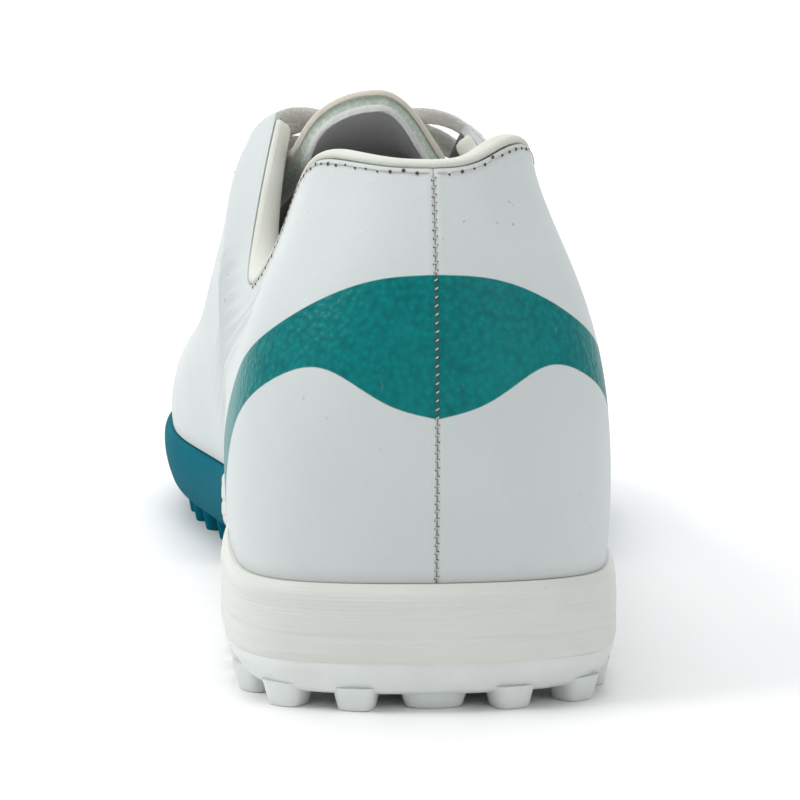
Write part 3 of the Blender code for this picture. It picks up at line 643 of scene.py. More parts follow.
def thread_look(name, colour):
    look = Look(name, 0.7)
    twist = look.noise(0.0004, 2.0)
    look.colour(look.mix(twist, colour, tuple(0.75 * c for c in colour)))
    look.relief(twist, 0.0001, 0.5)
    return look.material


def floor_look():
    look = Look("pale_floor", 0.55)
    look.colour(look.mix(look.noise(0.4, 2.0), (0.86, 0.86, 0.86), (0.88, 0.88, 0.88)))
    return look.material


# Meshes

def add_piece(name, points, faces, materials, slot, replaced=(), slots=None,
              values=(), smooth=45, flip=False):
    """A piece from points in the heel's frame, shaded and riding on the shoe's body."""
    if flip:
        faces = [face[::-1] for face in faces]
    mesh = bpy.data.meshes.new(name)
    mesh.from_pydata([tuple(p) for p in np.asarray(points) + SHIFT], [], faces)
    for material in materials:
        mesh.materials.append(material)
    if slots is not None:
        mesh.polygons.foreach_set("material_index", np.asarray(slots, np.int32))
    for key, numbers in dict(values).items():
        layer = mesh.attributes.new(key, 'FLOAT', 'POINT')
        layer.data.foreach_set("value", np.asarray(numbers, np.float32))
    mesh.update()
    mesh.shade_smooth()
    mesh.set_sharp_from_angle(angle=math.radians(smooth))
    piece = bpy.data.objects.new(name, mesh)
    bpy.context.scene.collection.objects.link(piece)
    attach(piece, "root")
    if replaced:
        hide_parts(*replaced)
    return piece


def lattice(rows, width, closed_rows=False, closed_width=False, first=0):
    """Quads over a table of points, row by row."""
    faces = []
    for i in range(rows if closed_rows else rows - 1):
        j = (i + 1) % rows
        for k in range(width if closed_width else width - 1):
            n = (k + 1) % width
            faces.append((first + i * width + k, first + i * width + n,
                          first + j * width + n, first + j * width + k))
    return faces


def disc(first, count):
    """One face over a ring of points."""
    return tuple(range(first, first + count))


def eyelet_angle(pair):
    first = CORNER + EYELET_MARGIN / LENGTH
    last = CORNER + (THROAT_LENGTH - 1.4 * EYELET_MARGIN) / LENGTH
    return turn(first + (last - first) * pair / (EYELET_PAIRS - 1))


def eyelet_places():
    """Centre and outward direction of each eyelet."""
    found = []
    for pair in range(EYELET_PAIRS):
        angle = eyelet_angle(pair)
        for side in (LATERAL, MEDIAL):
            share = throat_cut(side, angle) * depth_share(side, angle, EYELET_INSET)
            found.append((arch_skin(side, angle, share), arch_normal(side, angle, share)))
    return found


EYELETS = eyelet_places()


def upper_angles():
    """Close together at the seam, and with a row on each corner of the openings."""
    seam = [0.0, 0.0014, 0.0028, 0.0043, 0.006, 0.008, 0.0105, 0.0135, 0.017, 0.021, 0.026, 0.032]
    back = np.linspace(0.040, CORNER_ANGLE, 190)
    middle = np.linspace(CORNER_ANGLE, THROAT_END, 100)
    front = np.linspace(THROAT_END, math.pi, 110)
    return seam + list(back) + list(middle[1:]) + list(front[1:])


def pleats(y, z):
    """Long shallow pleats that sweep from below the collar's dip forward and down to the sole."""
    ahead = y - 0.030
    level = z + 0.25 * ahead + 1.7 * ahead ** 2
    wave = (0.5 + 0.5 * np.cos(2 * math.pi * level / PLEAT_PITCH)) ** 2
    mask = ease(0.034, 0.056, y) * (1 - ease(0.125, 0.160, y))
    mask = mask * ease(0.064, 0.068, level) * (1 - ease(0.090, 0.099, level))
    return wave * mask * ease(0.024, 0.032, z)


def upper_relief(place, side, walked, edge_depth, rise):
    """Height of the leather over its plain skin: seam, pleats, flex creases, turned edges."""
    x, y, z = place[..., 0], place[..., 1], place[..., 2]
    height = -RELIEF_DEPTH - 0.22 * MM * np.exp(-(walked / (0.34 * MM)) ** 2)
    height += 0.08 * MM * np.exp(-((walked - 1.2 * MM) / (0.7 * MM)) ** 2)
    fold = np.where(side < 0, 0.72, 0.50) * MM * pleats(y, z)
    height += fold * ease(2 * MM, 9 * MM, edge_depth)
    top = ease(0.50, 0.75, rise) * (1 - ease(0.016, 0.034, np.abs(x - CREASE_MIDDLE)))
    for along, depth, width in FLEX_CREASES:
        bow = along + 2.2 * (x - CREASE_MIDDLE) ** 2
        height -= depth * MM * np.exp(-((y - bow) / (width * MM)) ** 2) * top
    height -= 0.28 * MM * np.exp(-(edge_depth / (0.8 * MM)) ** 2)
    height -= 0.12 * MM * np.exp(-(rise * 60 * MM / (1.3 * MM)) ** 2)
    swell = np.sin(47 * y + 3 * x) * np.sin(61 * z + 1.7) + 0.6 * np.sin(103 * y + 90 * z)
    height += 0.10 * MM * swell * ease(0.01, 0.03, walked)
    for centre_point, _ in EYELETS:
        away = np.linalg.norm(place - centre_point, axis=-1)
        height -= 1.25 * MM * (1 - ease(0.8 * MM, 2.1 * MM, away))
    return height


def upper_loop():
    """Side and angle of each section, up the lateral side to the toe and back down the medial."""
    angles = upper_angles()
    return [(LATERAL, angle) for angle in angles] + [(MEDIAL, angle) for angle in angles[-2:0:-1]]


def upper_normals(skin_points, twins):
    """Outward directions on the skin, shared where both sides meet on the crest."""
    along = np.roll(skin_points, -1, axis=0) - np.roll(skin_points, 1, axis=0)
    normals = np.cross(along, np.gradient(skin_points, axis=1))
    normals /= np.linalg.norm(normals, axis=2, keepdims=True)
    for i, twin in twins.items():
        normals[i, -1] = normals[twin, -1] = unit(normals[i, -1] + normals[twin, -1])
    return normals


def upper_measures(skin_points, closed):
    """Distances down from the free edge, up from the sole, and round the heel from the seam."""
    steps = np.linalg.norm(np.diff(skin_points, axis=1), axis=2)
    depth = np.zeros(skin_points.shape[:2])
    depth[:, :-1] = np.cumsum(steps[:, ::-1], axis=1)[:, ::-1]
    depth[np.array(closed)] = 1.0
    climbed = np.zeros(skin_points.shape[:2])
    climbed[:, 1:] = np.cumsum(steps, axis=1)
    walked = np.zeros(skin_points.shape[:2])
    half = len(skin_points) // 2
    for order in (list(range(half + 1)), [0] + list(range(len(skin_points) - 1, half, -1))):
        flat = skin_points[order][:, :, :2]
        walked[order[1:]] = np.cumsum(np.linalg.norm(np.diff(flat, axis=0), axis=2), axis=0)
    return depth, climbed, walked


def inside_band(height, walked):
    """How far inside the coloured band a place lies, negative outside it."""
    edges = spline([row[0] for row in BAND], [row[1:] for row in BAND])
    places = np.linspace(0, BAND[-1][0], 600)
    bounds = np.array([edges(place) for place in places])
    lower = np.interp(walked, places, bounds[:, 0])
    upper = np.interp(walked, places, bounds[:, 1])
    return np.minimum(upper - height, height - lower)


def lasting_margin(side, angle, lift):
    """Edge of the wall where it is turned in under the foot."""
    low, out = feather(side, angle)
    x, y, _ = low - LASTING_MARGIN * out
    return np.array([x, y, bite(y / LENGTH) + GAP + lift])


def make_upper(materials):
    """The lasted shell with its details in the outer skin, and a plain skin inside it."""
    fine = 84
    coarse = 12
    loop = upper_loop()
    shares = np.arange(fine + 1) / fine
    inner_shares = np.arange(coarse + 1) / coarse
    skin_points = np.array([on_curve(section(side, angle), shares) for side, angle in loop])
    closed = [station_of(angle) >= CORNER + THROAT_LENGTH / LENGTH - 1e-9 for _, angle in loop]
    twins = {i: len(loop) - i for i in range(len(loop) // 2 + 1, len(loop)) if closed[i]}
    normals = upper_normals(skin_points, twins)
    depth, climbed, walked = upper_measures(skin_points, closed)
    sides = np.array([side for side, _ in loop], float)[:, None] * np.ones(fine + 1)
    rise = shares[None, :] * np.ones((len(loop), 1))
    outer = skin_points + upper_relief(skin_points, sides, walked, depth, rise)[..., None] * normals
    inner = np.array([on_curve(section(side, angle), inner_shares) for side, angle in loop])
    inner = inner - WALL * normals[:, np.round(inner_shares * fine).astype(int)]
    holes = np.min([np.linalg.norm(skin_points - centre, axis=2) for centre, _ in EYELETS], axis=0)
    band = inside_band(skin_points[..., 2], walked)
    table = np.stack([band, walked, holes, climbed], axis=2) / MM
    plain = np.array([-9.0, 9.0, 99.0, 0.0])
    points = []
    index = []
    values = []
    for i, (side, angle) in enumerate(loop):
        row = []
        whole = [lasting_margin(side, angle, 0.0), *outer[i], *inner[i][::-1],
                 lasting_margin(side, angle, WALL)]
        for k, point in enumerate(whole):
            if k in (fine + 1, fine + 2) and i in twins:
                row.append(index[twins[i]][k])
                continue
            row.append(len(points))
            points.append(point)
            values.append(table[i, k - 1] if 0 < k <= fine + 1 else plain)
        index.append(row)
    faces = []
    slots = []
    width = len(index[0])
    for i in range(len(loop)):
        j = (i + 1) % len(loop)
        for k in range(width):
            if k == fine + 1 and closed[i] and closed[j]:
                continue
            n = (k + 1) % width
            corners = dict.fromkeys((index[i][k], index[i][n], index[j][n], index[j][k]))
            if len(corners) > 2:
                faces.append(tuple(corners)[::-1])
                slots.append(int(k > fine + 1))
    values = dict(zip(("band", "seam", "hole", "rise"), np.array(values).T))
    add_piece("upper_leather", points, faces, materials, "leather", ["upper"],
              slots, values, smooth=60)


def on_collar(side, angle, depth, inset):
    """A point inside the collar, by its depth under the free edge and its inset from the skin."""
    share = depth_share(side, angle, max(depth, 0.0))
    point = skin(side, angle, share)
    out = normal_on(skin, side, angle, share)
    if depth < 0:
        if angle < 0.008:
            edge = np.array([side, 0.0, 0.0])
        else:
            edge = skin(side, angle, 1.0) - skin(side, angle - 0.008, 1.0)
        point = point + depth * unit(side * np.cross(edge, out))
    return point - inset * out


def make_collar(material):
    """Padded lining inside the collar, rolled over its free edge."""
    inner = WALL + COLLAR_CLEARANCE
    rim = 0.2 * COLLAR_CLEARANCE
    angles = list(np.linspace(0.0, CORNER_ANGLE, 61))
    rows = []
    for side, run in ((LATERAL, angles[::-1]), (MEDIAL, angles[1:])):
        for angle in run:
            thickness, reach = PAD_CURVE(angle)
            pad = COLLAR_PAD * thickness
            deep = COLLAR_DEPTH * reach
            roll = 1.25 * COLLAR_ROLL * (0.6 + 0.4 * thickness)
            loop = (
                (-rim, 0.08 * inner),
                (-rim - 0.62 * roll, 0.16 * inner),
                (-rim - 1.00 * roll, inner + 0.20 * pad),
                (-rim - 0.72 * roll, inner + 0.65 * pad),
                (0.10 * pad, inner + 0.93 * pad),
                (0.12 * deep + 0.4 * pad, inner + 1.00 * pad),
                (0.50 * deep, inner + 0.80 * pad),
                (0.80 * deep, inner + 0.45 * pad),
                (deep, inner + 0.30 * pad),
                (deep, inner),
                (0.66 * deep, inner),
                (0.33 * deep, inner),
                (0.0, inner),
                (-rim, inner),
            )
            rows.append([on_collar(side, angle, depth, inset) for depth, inset in loop])
    width = len(rows[0])
    faces = lattice(len(rows), width, closed_width=True)
    faces.append(disc(0, width)[::-1])
    faces.append(disc((len(rows) - 1) * width, width))
    collar = add_piece("collar_padding", [p for row in rows for p in row], faces, [material],
                       "lining", ["collar_lining"], flip=True)
    soften = collar.modifiers.new("soften", 'SUBSURF')
    soften.levels = 2
    soften.render_levels = 2


TONGUE_TOP = turn(CORNER - TONGUE_RISE / LENGTH)
TONGUE_SIDE = turn(CORNER + TONGUE_SLOPE / LENGTH)
TONGUE_FOOT = turn(CORNER + THROAT_LENGTH / LENGTH + 0.03)


def tongue_tuck(angle):
    """Extra inset of the tongue where the collar's padding passes beside it."""
    pad = COLLAR_PAD * PAD_CURVE(min(angle, CORNER_ANGLE))[0] + TONGUE_TUCK
    return pad * (1 - ease(CORNER, CORNER + 0.06, station_of(angle)))


def tongue_point(side, along, across):
    """Point and outward direction. Across runs from 0 at the tongue's side to 1 on its crest."""
    start = TONGUE_SIDE + (TONGUE_TOP - TONGUE_SIDE) * across * (2 - across)
    angle = start + (TONGUE_FOOT - start) * along
    tuck = tongue_tuck(angle) * (1 - (1 - TONGUE_CROWN) * ease(0.35, 1.00, across))
    inset = WALL + TONGUE_CLEARANCE + tuck
    flank = 0.45 + 0.22 * ease(CORNER, 0.62, station_of(angle))
    share = flank + (1 - flank) * across
    out = arch_normal(side, angle, share)
    return arch_skin(side, angle, share) - inset * out, out


def tongue_sheet():
    """Points and outward directions over the outside of the tongue, row by row from its top."""
    across = [(k / 26) ** 1.6 for k in range(26)] + [1.0]
    sheet = []
    for step in range(60):
        along = (step / 59) ** 1.15
        row = [tongue_point(MEDIAL, along, share) for share in across]
        row += [tongue_point(LATERAL, along, share) for share in across[-2::-1]]
        sheet.append(row)
    return [np.array([[pair[k] for pair in row] for row in sheet]) for k in (0, 1)]


def make_tongue(material):
    """Arched tongue in three layers: cloth, foam, and a lining with a ragged cut edge."""
    points, out = tongue_sheet()
    ahead = points[0] - points[2]
    ahead /= np.linalg.norm(ahead, axis=1, keepdims=True)
    profile = (
        # depth share, push past the cut edge in millimetres, layer
        (0.04, 0.30, 0.05), (0.14, 0.55, 0.15), (0.27, 0.50, 0.26), (0.31, -0.30, 0.36),
        (0.50, -0.15, 0.5), (0.64, -0.40, 0.64), (0.70, 0.20, 0.75), (0.84, 0.45, 0.85),
        (0.96, 0.30, 0.95),
    )
    rows, width = points.shape[:2]
    second = rows * width
    verts = [*points.reshape(-1, 3), *(points - TONGUE_THICKNESS * out).reshape(-1, 3)]
    level = [0.0] * second + [1.0] * width + [1.15] * (second - width)
    faces = [face[::-1] for face in lattice(rows, width)]
    faces += lattice(rows, width, first=second)
    rims = [list(range(width))]
    rng = np.random.default_rng(5)
    ragged = np.convolve(rng.normal(0, 1, width + 8), np.ones(3) / 3, 'same')[4:-4]
    for share, push, layer in profile:
        rims.append([])
        for k in range(width):
            wave = 0.45 * ragged[k] * (layer > 0.7) + 0.12 * ragged[(3 * k) % width]
            taper = min(1.0, min(k, width - 1 - k) / 3)
            point = points[0][k] - share * TONGUE_THICKNESS * out[0][k]
            rims[-1].append(len(verts))
            verts.append(point + (push + wave) * taper * MM * ahead[k])
            level.append(layer)
    rims.append(list(range(second, second + width)))
    for low, high in zip(rims, rims[1:]):
        for k in range(width - 1):
            faces.append((low[k], low[k + 1], high[k + 1], high[k]))
    for side in (0, width - 1):
        column = [i * width + side for i in range(rows)]
        inner = [second + i * width + side for i in range(rows)]
        for i in range(rows - 1):
            quad = (column[i], column[i + 1], inner[i + 1], inner[i])
            faces.append(quad if side == 0 else quad[::-1])
        end = [rim[side] for rim in rims]
        faces.append(tuple(end) if side else tuple(end[::-1]))
    last = (rows - 1) * width
    for k in range(width - 1):
        faces.append((last + k + 1, last + k, second + last + k, second + last + k + 1))
    tongue = add_piece("tongue_padding", verts, faces, [material], "tongue", ["tongue"],
                       values={"layer": level}, smooth=70)


def lace_bed(angle, across, lift):
    """A point over the laced throat: across runs from -1 at the medial eyelets to 1."""
    side = LATERAL if across >= 0 else MEDIAL
    control = full_arch(side, angle)
    cut = throat_cut(side, angle)
    reach = EYELET_INSET / (EYELET_INSET + throat_half(station_of(angle)))
    eyelet = cut * depth_share(side, angle, EYELET_INSET)
    if abs(across) > 1 - reach:
        share = cut + (eyelet - cut) * (abs(across) - 1 + reach) / reach
    else:
        share = 1 + (cut - 1) * abs(across) / (1 - reach)
    sag = WALL + TONGUE_CLEARANCE + TONGUE_CROWN * tongue_tuck(angle)
    sag *= 1 - ease(0.0, 0.9 * (1 - reach), abs(across))
    out = arch_normal(side, angle, share)
    return on_curve(control, share) + (LACE_CLEARANCE - sag + lift) * out, out


def make_laces(material):
    """Flat crowned lace that crosses between the eyelets and turns down into each of them."""
    runs = [(EYELET_PAIRS - 1, EYELET_PAIRS - 1, LATERAL, -0.25, 0.0)]
    for pair in range(EYELET_PAIRS - 1):
        runs.append((pair + 1, pair, LATERAL, 0.0, 0.0))
        runs.append((pair + 1, pair, MEDIAL, 0.45, 0.4))
    steps = 44
    outline = circle(12, 0.55, 0.8)
    width = len(outline)
    points = []
    faces = []
    for low, high, first_side, layer, hump in runs:
        line = []
        start, end = eyelet_angle(low), eyelet_angle(high)
        for k in range(steps + 1):
            u = k / steps
            lift = LACE_THICKNESS * (0.5 + layer + hump * math.exp(-((u - 0.5) / 0.16) ** 2))
            dive = math.exp(-min(u, 1 - u) / 0.035)
            line.append(lace_bed(start + (end - start) * u, first_side * (1 - 2 * u),
                                 lift - 2.6 * MM * dive))
        first = len(points)
        for k, (point, out) in enumerate(line):
            ahead = line[min(k + 1, steps)][0] - line[max(k - 1, 0)][0]
            wide = unit(np.cross(ahead, out))
            u = k / steps
            gather = 0.42 + 0.58 * ease(0.0, 0.13, min(u, 1 - u))
            ridge = 0.05 * math.sin(u * 150)
            for flat, thick in outline:
                points.append(point + flat * gather * LACE_WIDTH / 2 * wide
                              + thick * (0.95 + ridge) * LACE_THICKNESS / 2 * out)
        faces += lattice(steps + 1, width, closed_width=True, first=first)
        faces.append(disc(first, width)[::-1])
        faces.append(disc(first + steps * width, width))
    add_piece("lace", points, faces, [material], "lace", ["laces"], smooth=60, flip=True)


def make_eyelets(material):
    """Punched eyelets: a low rolled rim round each hole."""
    profile = ((1.45, -0.7), (1.55, -0.1), (1.85, 0.22), (2.25, 0.24), (2.55, 0.02), (2.5, -0.4))
    steps = 20
    points = []
    faces = []
    for centre, out in EYELETS:
        across = unit(np.cross(out, np.array([0.0, 1.0, 0.2])))
        along = np.cross(out, across)
        first = len(points)
        for cosine, sine in circle(steps):
            ray = cosine * across + sine * along
            for radius, height in profile:
                points.append(centre + radius * MM * ray + height * MM * out)
        faces += lattice(steps, len(profile), closed_rows=True, closed_width=True, first=first)
    add_piece("eyelet_rims", points, faces, [material], "leather")


def thread(points, faces, start, end, out, radius, bow):
    """One stitch: a short round thread from start to end, bowed outward."""
    outline = circle(6)
    sides = len(outline)
    shape = ((0.0, 0.35), (0.12, 0.8), (0.5, 1.0), (0.88, 0.8), (1.0, 0.35))
    ahead = unit(end - start)
    wide = unit(np.cross(ahead, out))
    high = np.cross(wide, ahead)
    first = len(points)
    for share, size in shape:
        lift = bow * math.sin(math.pi * share)
        centre = start + share * (end - start) + lift * high
        for cosine, sine in outline:
            points.append(centre + radius * size * (cosine * wide + sine * high))
    faces += lattice(len(shape), sides, closed_width=True, first=first)
    faces.append(disc(first, sides))
    faces.append(disc(first + (len(shape) - 1) * sides, sides)[::-1])


def make_seam(thread_material, hole_shade_material):
    """Short cross stitches over the closed seam at the back of the heel, with needle holes."""
    stitches = ([], [])
    holes = ([], [])
    control = section(LATERAL, 0.0)
    shares = np.linspace(0.0, 1.0, 200)
    line = on_curve(control, shares)
    walked = distances(line)
    rng = np.random.default_rng(11)
    for k in range(int(walked[-1] / SEAM_PITCH)):
        low = (k + 0.5) * SEAM_PITCH
        share = float(np.interp(low, walked, shares))
        ahead = float(np.interp(low + 0.30 * SEAM_PITCH, walked, shares))
        out = normal_on(skin, LATERAL, 0.0, share)
        slip = rng.normal(0, 0.04, 2) * MM
        left = on_curve(control, share) + np.array([slip[0] - 0.30 * MM, 0, 0])
        right = on_curve(control, ahead) + np.array([slip[1] + 0.30 * MM, 0, 0])
        left -= 0.20 * MM * out
        right -= 0.20 * MM * out
        thread(*stitches, left, right, out, 0.14 * MM, 0.06 * MM)
        for end in (left, right):
            prick(*holes, end - 0.10 * MM * out, out, rng.uniform(0.11, 0.18) * MM)
    add_piece("heel_needle_holes", *holes, [hole_shade_material], "leather", flip=True)
    add_piece("heel_seam_thread", *stitches, [thread_material], "leather", flip=True)


def edge_walk(side, depth, start, end, pitch):
    """Places along the free edge at a depth under it: point, outward direction, direction along."""
    angles = np.linspace(start, end, 160)
    line = []
    for angle in angles:
        share = depth_share(side, angle, depth)
        line.append(skin(side, angle, share))
    line = np.array(line)
    walked = distances(line)
    found = []
    for k in range(int(walked[-1] / pitch)):
        at = (k + 0.5) * pitch
        angle = float(np.interp(at, walked, angles))
        share = depth_share(side, angle, depth)
        here = skin(side, angle, share)
        there = skin(side, angle + 0.003, depth_share(side, angle + 0.003, depth))
        found.append((here, normal_on(skin, side, angle, share), unit(there - here)))
    return found


def make_topline(thread_material, hole_shade_material):
    """Stitches just under the collar's edge, and the needle holes between them."""
    stitches = ([], [])
    holes = ([], [])
    rng = np.random.default_rng(3)
    for side in (LATERAL, MEDIAL):
        places = edge_walk(side, COLLAR_STITCH_DEPTH, 0.01, turn(COLLAR_STITCH_END),
                           COLLAR_STITCH_PITCH)
        for here, out, along in places:
            size = rng.uniform(0.20, 0.36) * MM
            slip = rng.normal(0, 0.14) * MM
            base = here - 0.16 * MM * out
            down = np.cross(out, along)
            thread(*stitches, base - 0.95 * MM * along + 0.05 * MM * out,
                   base + 0.95 * MM * along + 0.05 * MM * out, out, 0.11 * MM, 0.10 * MM)
            prick(*holes, base + 1.175 * MM * along + slip * down, out, size)
    add_piece("collar_thread", *stitches, [thread_material], "leather", flip=True)
    add_piece("collar_needle_holes", *holes, [hole_shade_material], "leather", flip=True)


def prick(points, faces, centre, out, radius):
    """A needle hole, shown by a low dark disc of painted shade."""
    across = unit(np.cross(out, np.array([0.3, 0.2, 1.0])))
    along = np.cross(out, across)
    first = len(points)
    sides = 8
    levels = ((1.0, 0.05), (0.95, 0.15), (0.55, 0.17))
    for size, height in levels:
        for cosine, sine in circle(sides):
            ray = cosine * across + sine * along
            points.append(centre + size * radius * ray + height * MM * out)
    faces += lattice(len(levels), sides, closed_width=True, first=first)
    faces.append(disc(first, sides))
    faces.append(disc(first + (len(levels) - 1) * sides, sides)[::-1])


def make_throat_stitches(material):
    """Two rows of stitches round the throat."""
    points = []
    faces = []
    for depth in THROAT_STITCH_DEPTHS:
        for side in (LATERAL, MEDIAL):
            places = edge_walk(side, depth, CORNER_ANGLE + 0.02, THROAT_END - 0.03,
                               THROAT_STITCH_PITCH)
            for here, out, along in places:
                thread(points, faces, here - 0.8 * MM * along, here + 0.8 * MM * along, out,
                       0.16 * MM, 0.16 * MM)
    add_piece("throat_thread", points, faces, [material], "leather", flip=True)


# Sole

SPLIT_ANGLE = turn(RUBBER_SPLIT / LENGTH)
BEHIND_SPLIT = turn((RUBBER_SPLIT - GAP) / LENGTH)


def between(low, high, share):
    """A height as a function of the station, at a share of the way between two others."""
    return lambda station: low(station) + share * (high(station) - low(station))


def ring(angles, offset, height):
    """One level of a sole layer, round both sides. Offset takes the angle, height the station."""
    points = []
    for side, run in ((LATERAL, angles), (MEDIAL, angles[::-1])):
        for angle in run:
            point, out = plan(side, angle)
            if 0.35 < station_of(angle) < 0.65:
                out = np.array([1 / out[0], 0.0, 0.0])
            point = point + offset(angle) * out
            point[2] = height(point[1] / LENGTH)
            points.append(point)
    return points


def layer_faces(count, levels):
    """Sides and caps of a layer whose rings have 2 * count points each."""
    around = 2 * count
    faces = lattice(levels, around, closed_width=True)
    for base, flip in ((0, True), ((levels - 1) * around, False)):
        for k in range(count - 1):
            face = (base + k, base + around - 1 - k, base + around - 2 - k, base + k + 1)
            faces.append(face if flip else face[::-1])
    return faces


def make_midsole(material):
    """Foam wedge with fine moulded lines round its side and a pinched line above the rubber."""
    shape = spline([0.0, 0.06, 0.28, 0.34, 0.40, 0.70, 0.90, 1.0],
                   [-0.30, -0.08, 0.0, -0.17, 0.0, -0.10, -0.35, -1.25])
    shares = np.unique(np.concatenate([np.linspace(0, 1, 64), [0.28, 0.34, 0.40]]))
    behind = list(np.linspace(0.0, BEHIND_SPLIT, 150))
    front = list(np.linspace(BEHIND_SPLIT + 1e-6, math.pi, 60))
    angles = behind + front
    points = []
    for share in shares:
        bulge = float(shape(share)[0]) * MM
        lines = 0.5 + 0.5 * math.cos(2 * math.pi * share * 19)
        bulge -= 0.085 * MM * lines * float(ease(0.42, 0.50, share) * (1 - ease(0.84, 0.90, share)))

        def offset(angle, bulge=bulge):
            if angle > BEHIND_SPLIT + 1e-7:
                return -(RAND_WALL + GAP)
            return min(bulge + 0.06 * MM * math.sin(17 * angle + 9 * share), 0.0)

        def height(station, share=share):
            if station <= station_of(BEHIND_SPLIT) + 2e-7:
                low = rubber_line(station) + 0.02 * MM
            else:
                low = underside(station) + FOREFOOT_RUBBER + GAP
            return low + share * (bite(station) - low) + 0.8 * GAP * share ** 12
        points += ring(angles, offset, height)
    faces = layer_faces(len(angles), len(shares))
    add_piece("midsole_foam", points, faces, [material], "foam", ["midsole"])


def edge_studs_between(low, high, edge):
    """Places and widths of the studs along the edge, between two stations."""
    studs = []
    for side in (LATERAL, MEDIAL):
        line = []
        for k in range(401):
            angle = math.pi * (k / 400)
            point, out = plan(side, angle)
            line.append((angle, point - edge * out))
        travelled = 0.0
        for (_, here), (angle, there) in zip(line, line[1:]):
            if not low <= station_of(angle) <= high:
                continue
            travelled += float(np.linalg.norm(there - here))
            if travelled >= STUD_PITCH:
                travelled -= STUD_PITCH
                studs.append((there[0], there[1], STUD_WIDTH))
    return studs


def inner_studs(low, high, edge, edge_studs):
    """Rows of studs inside the edge row, every second row moved by half a pitch."""
    studs = []
    row_pitch = 0.9 * STUD_PITCH
    row = 0
    y = (low + 0.02) * LENGTH + STUD_PITCH
    while y < high * LENGTH:
        angle = turn(y / LENGTH)
        left = plan(MEDIAL, angle)[0][0] + edge
        right = plan(LATERAL, angle)[0][0] - edge
        middle = (left + right) / 2
        count = int((right - left) / STUD_PITCH) + 2
        for k in range(-count, count + 1):
            x = middle + (k + 0.5 * (row % 2)) * STUD_PITCH
            near = min(math.hypot(x - s[0], y - s[1]) for s in edge_studs)
            if left < x < right and near > 0.92 * STUD_PITCH:
                studs.append((x, y, 0.86 * STUD_WIDTH))
        y += row_pitch
        row += 1
    return studs


def waist_studs(low, high):
    """One row of studs across the waist, where the arch comes down."""
    y = (low + high) / 2 * LENGTH
    angle = turn(y / LENGTH)
    left = plan(MEDIAL, angle)[0][0] + HEEL_STUD_EDGE
    right = plan(LATERAL, angle)[0][0] - HEEL_STUD_EDGE
    count = max(2, int((right - left) / STUD_PITCH))
    return [(left + (right - left) * k / count, y, 0.9 * STUD_WIDTH) for k in range(count + 1)]


def outward_at(x, y):
    """Direction from the middle of the sole to its nearest edge."""
    station = min(max(y / LENGTH, 0.0), 1.0)
    if station < 0.08:
        pull = np.array([x, y - 0.045, 0.0])
    elif station > 0.86:
        pull = np.array([x + 0.004, y - 0.225, 0.0])
    else:
        pull = np.array([math.copysign(1.0, x), 0.0, 0.0])
    return unit(pull)


def add_studs(points, faces, studs):
    """Rounded studs with tapering sides and a softened tip, rooted in the rubber."""
    outline = circle(24, 0.62, 0.62)
    sides = len(outline)
    for x, y, width in studs:
        station = y / LENGTH
        root = underside(station) + STUD_ROOT
        tip = underside(station) - STUD_HEIGHT if station > 0.70 else 0.0
        out = outward_at(x, y)
        along = np.array([-out[1], out[0], 0.0])
        deep = min(width, STUD_WIDTH)
        levels = (
            (root, 1.06), (tip + 0.80 * (root - tip), 0.985), (tip + 0.30 * (root - tip), 0.86),
            (tip + 0.30 * MM, 0.80), (tip + 0.08 * MM, 0.765), (tip, 0.66), (tip, 0.30),
        )
        first = len(points)
        for z, size in levels:
            for u, v in outline:
                foot = np.array([x, y, z])
                points.append(foot + 0.455 * size * (width * u * along + deep * v * out))
        sheet = lattice(len(levels), sides, closed_width=True, first=first)
        faces += [face[::-1] for face in sheet]
        faces.append(disc(first + (len(levels) - 1) * sides, sides)[::-1])
        faces.append(disc(first, sides))


def make_heel_outsole(material):
    """White rubber under the heel and waist, with its studs."""
    shape = spline([0.0, 0.08, 0.25, 0.55, 0.90, 1.0], [-3.4, -2.6, -1.8, -0.9, -0.28, -0.32])
    angles = list(np.linspace(0.0, BEHIND_SPLIT, 150))
    shares = np.linspace(0, 1, 16)
    points = []
    for share in shares:
        inset = float(shape(share)[0]) * MM
        points += ring(angles, lambda angle: inset, between(underside, rubber_line, share))
    faces = layer_faces(len(angles), len(shares))
    edge = edge_studs_between(0.0, 0.36, HEEL_STUD_EDGE)
    point, out = plan(LATERAL, 0.0)
    centre = point - (HEEL_STUD_EDGE + (HEEL_STUD_WIDTH - STUD_WIDTH) / 2) * out
    edge.append((centre[0], centre[1], HEEL_STUD_WIDTH))
    studs = edge + inner_studs(0.02, 0.33, HEEL_STUD_EDGE, edge)
    studs += waist_studs(0.455, RUBBER_SPLIT / LENGTH)
    add_studs(points, faces, studs)
    add_piece("heel_rubber", points, faces, [material], "heel_rubber", ["outsole_heel"])


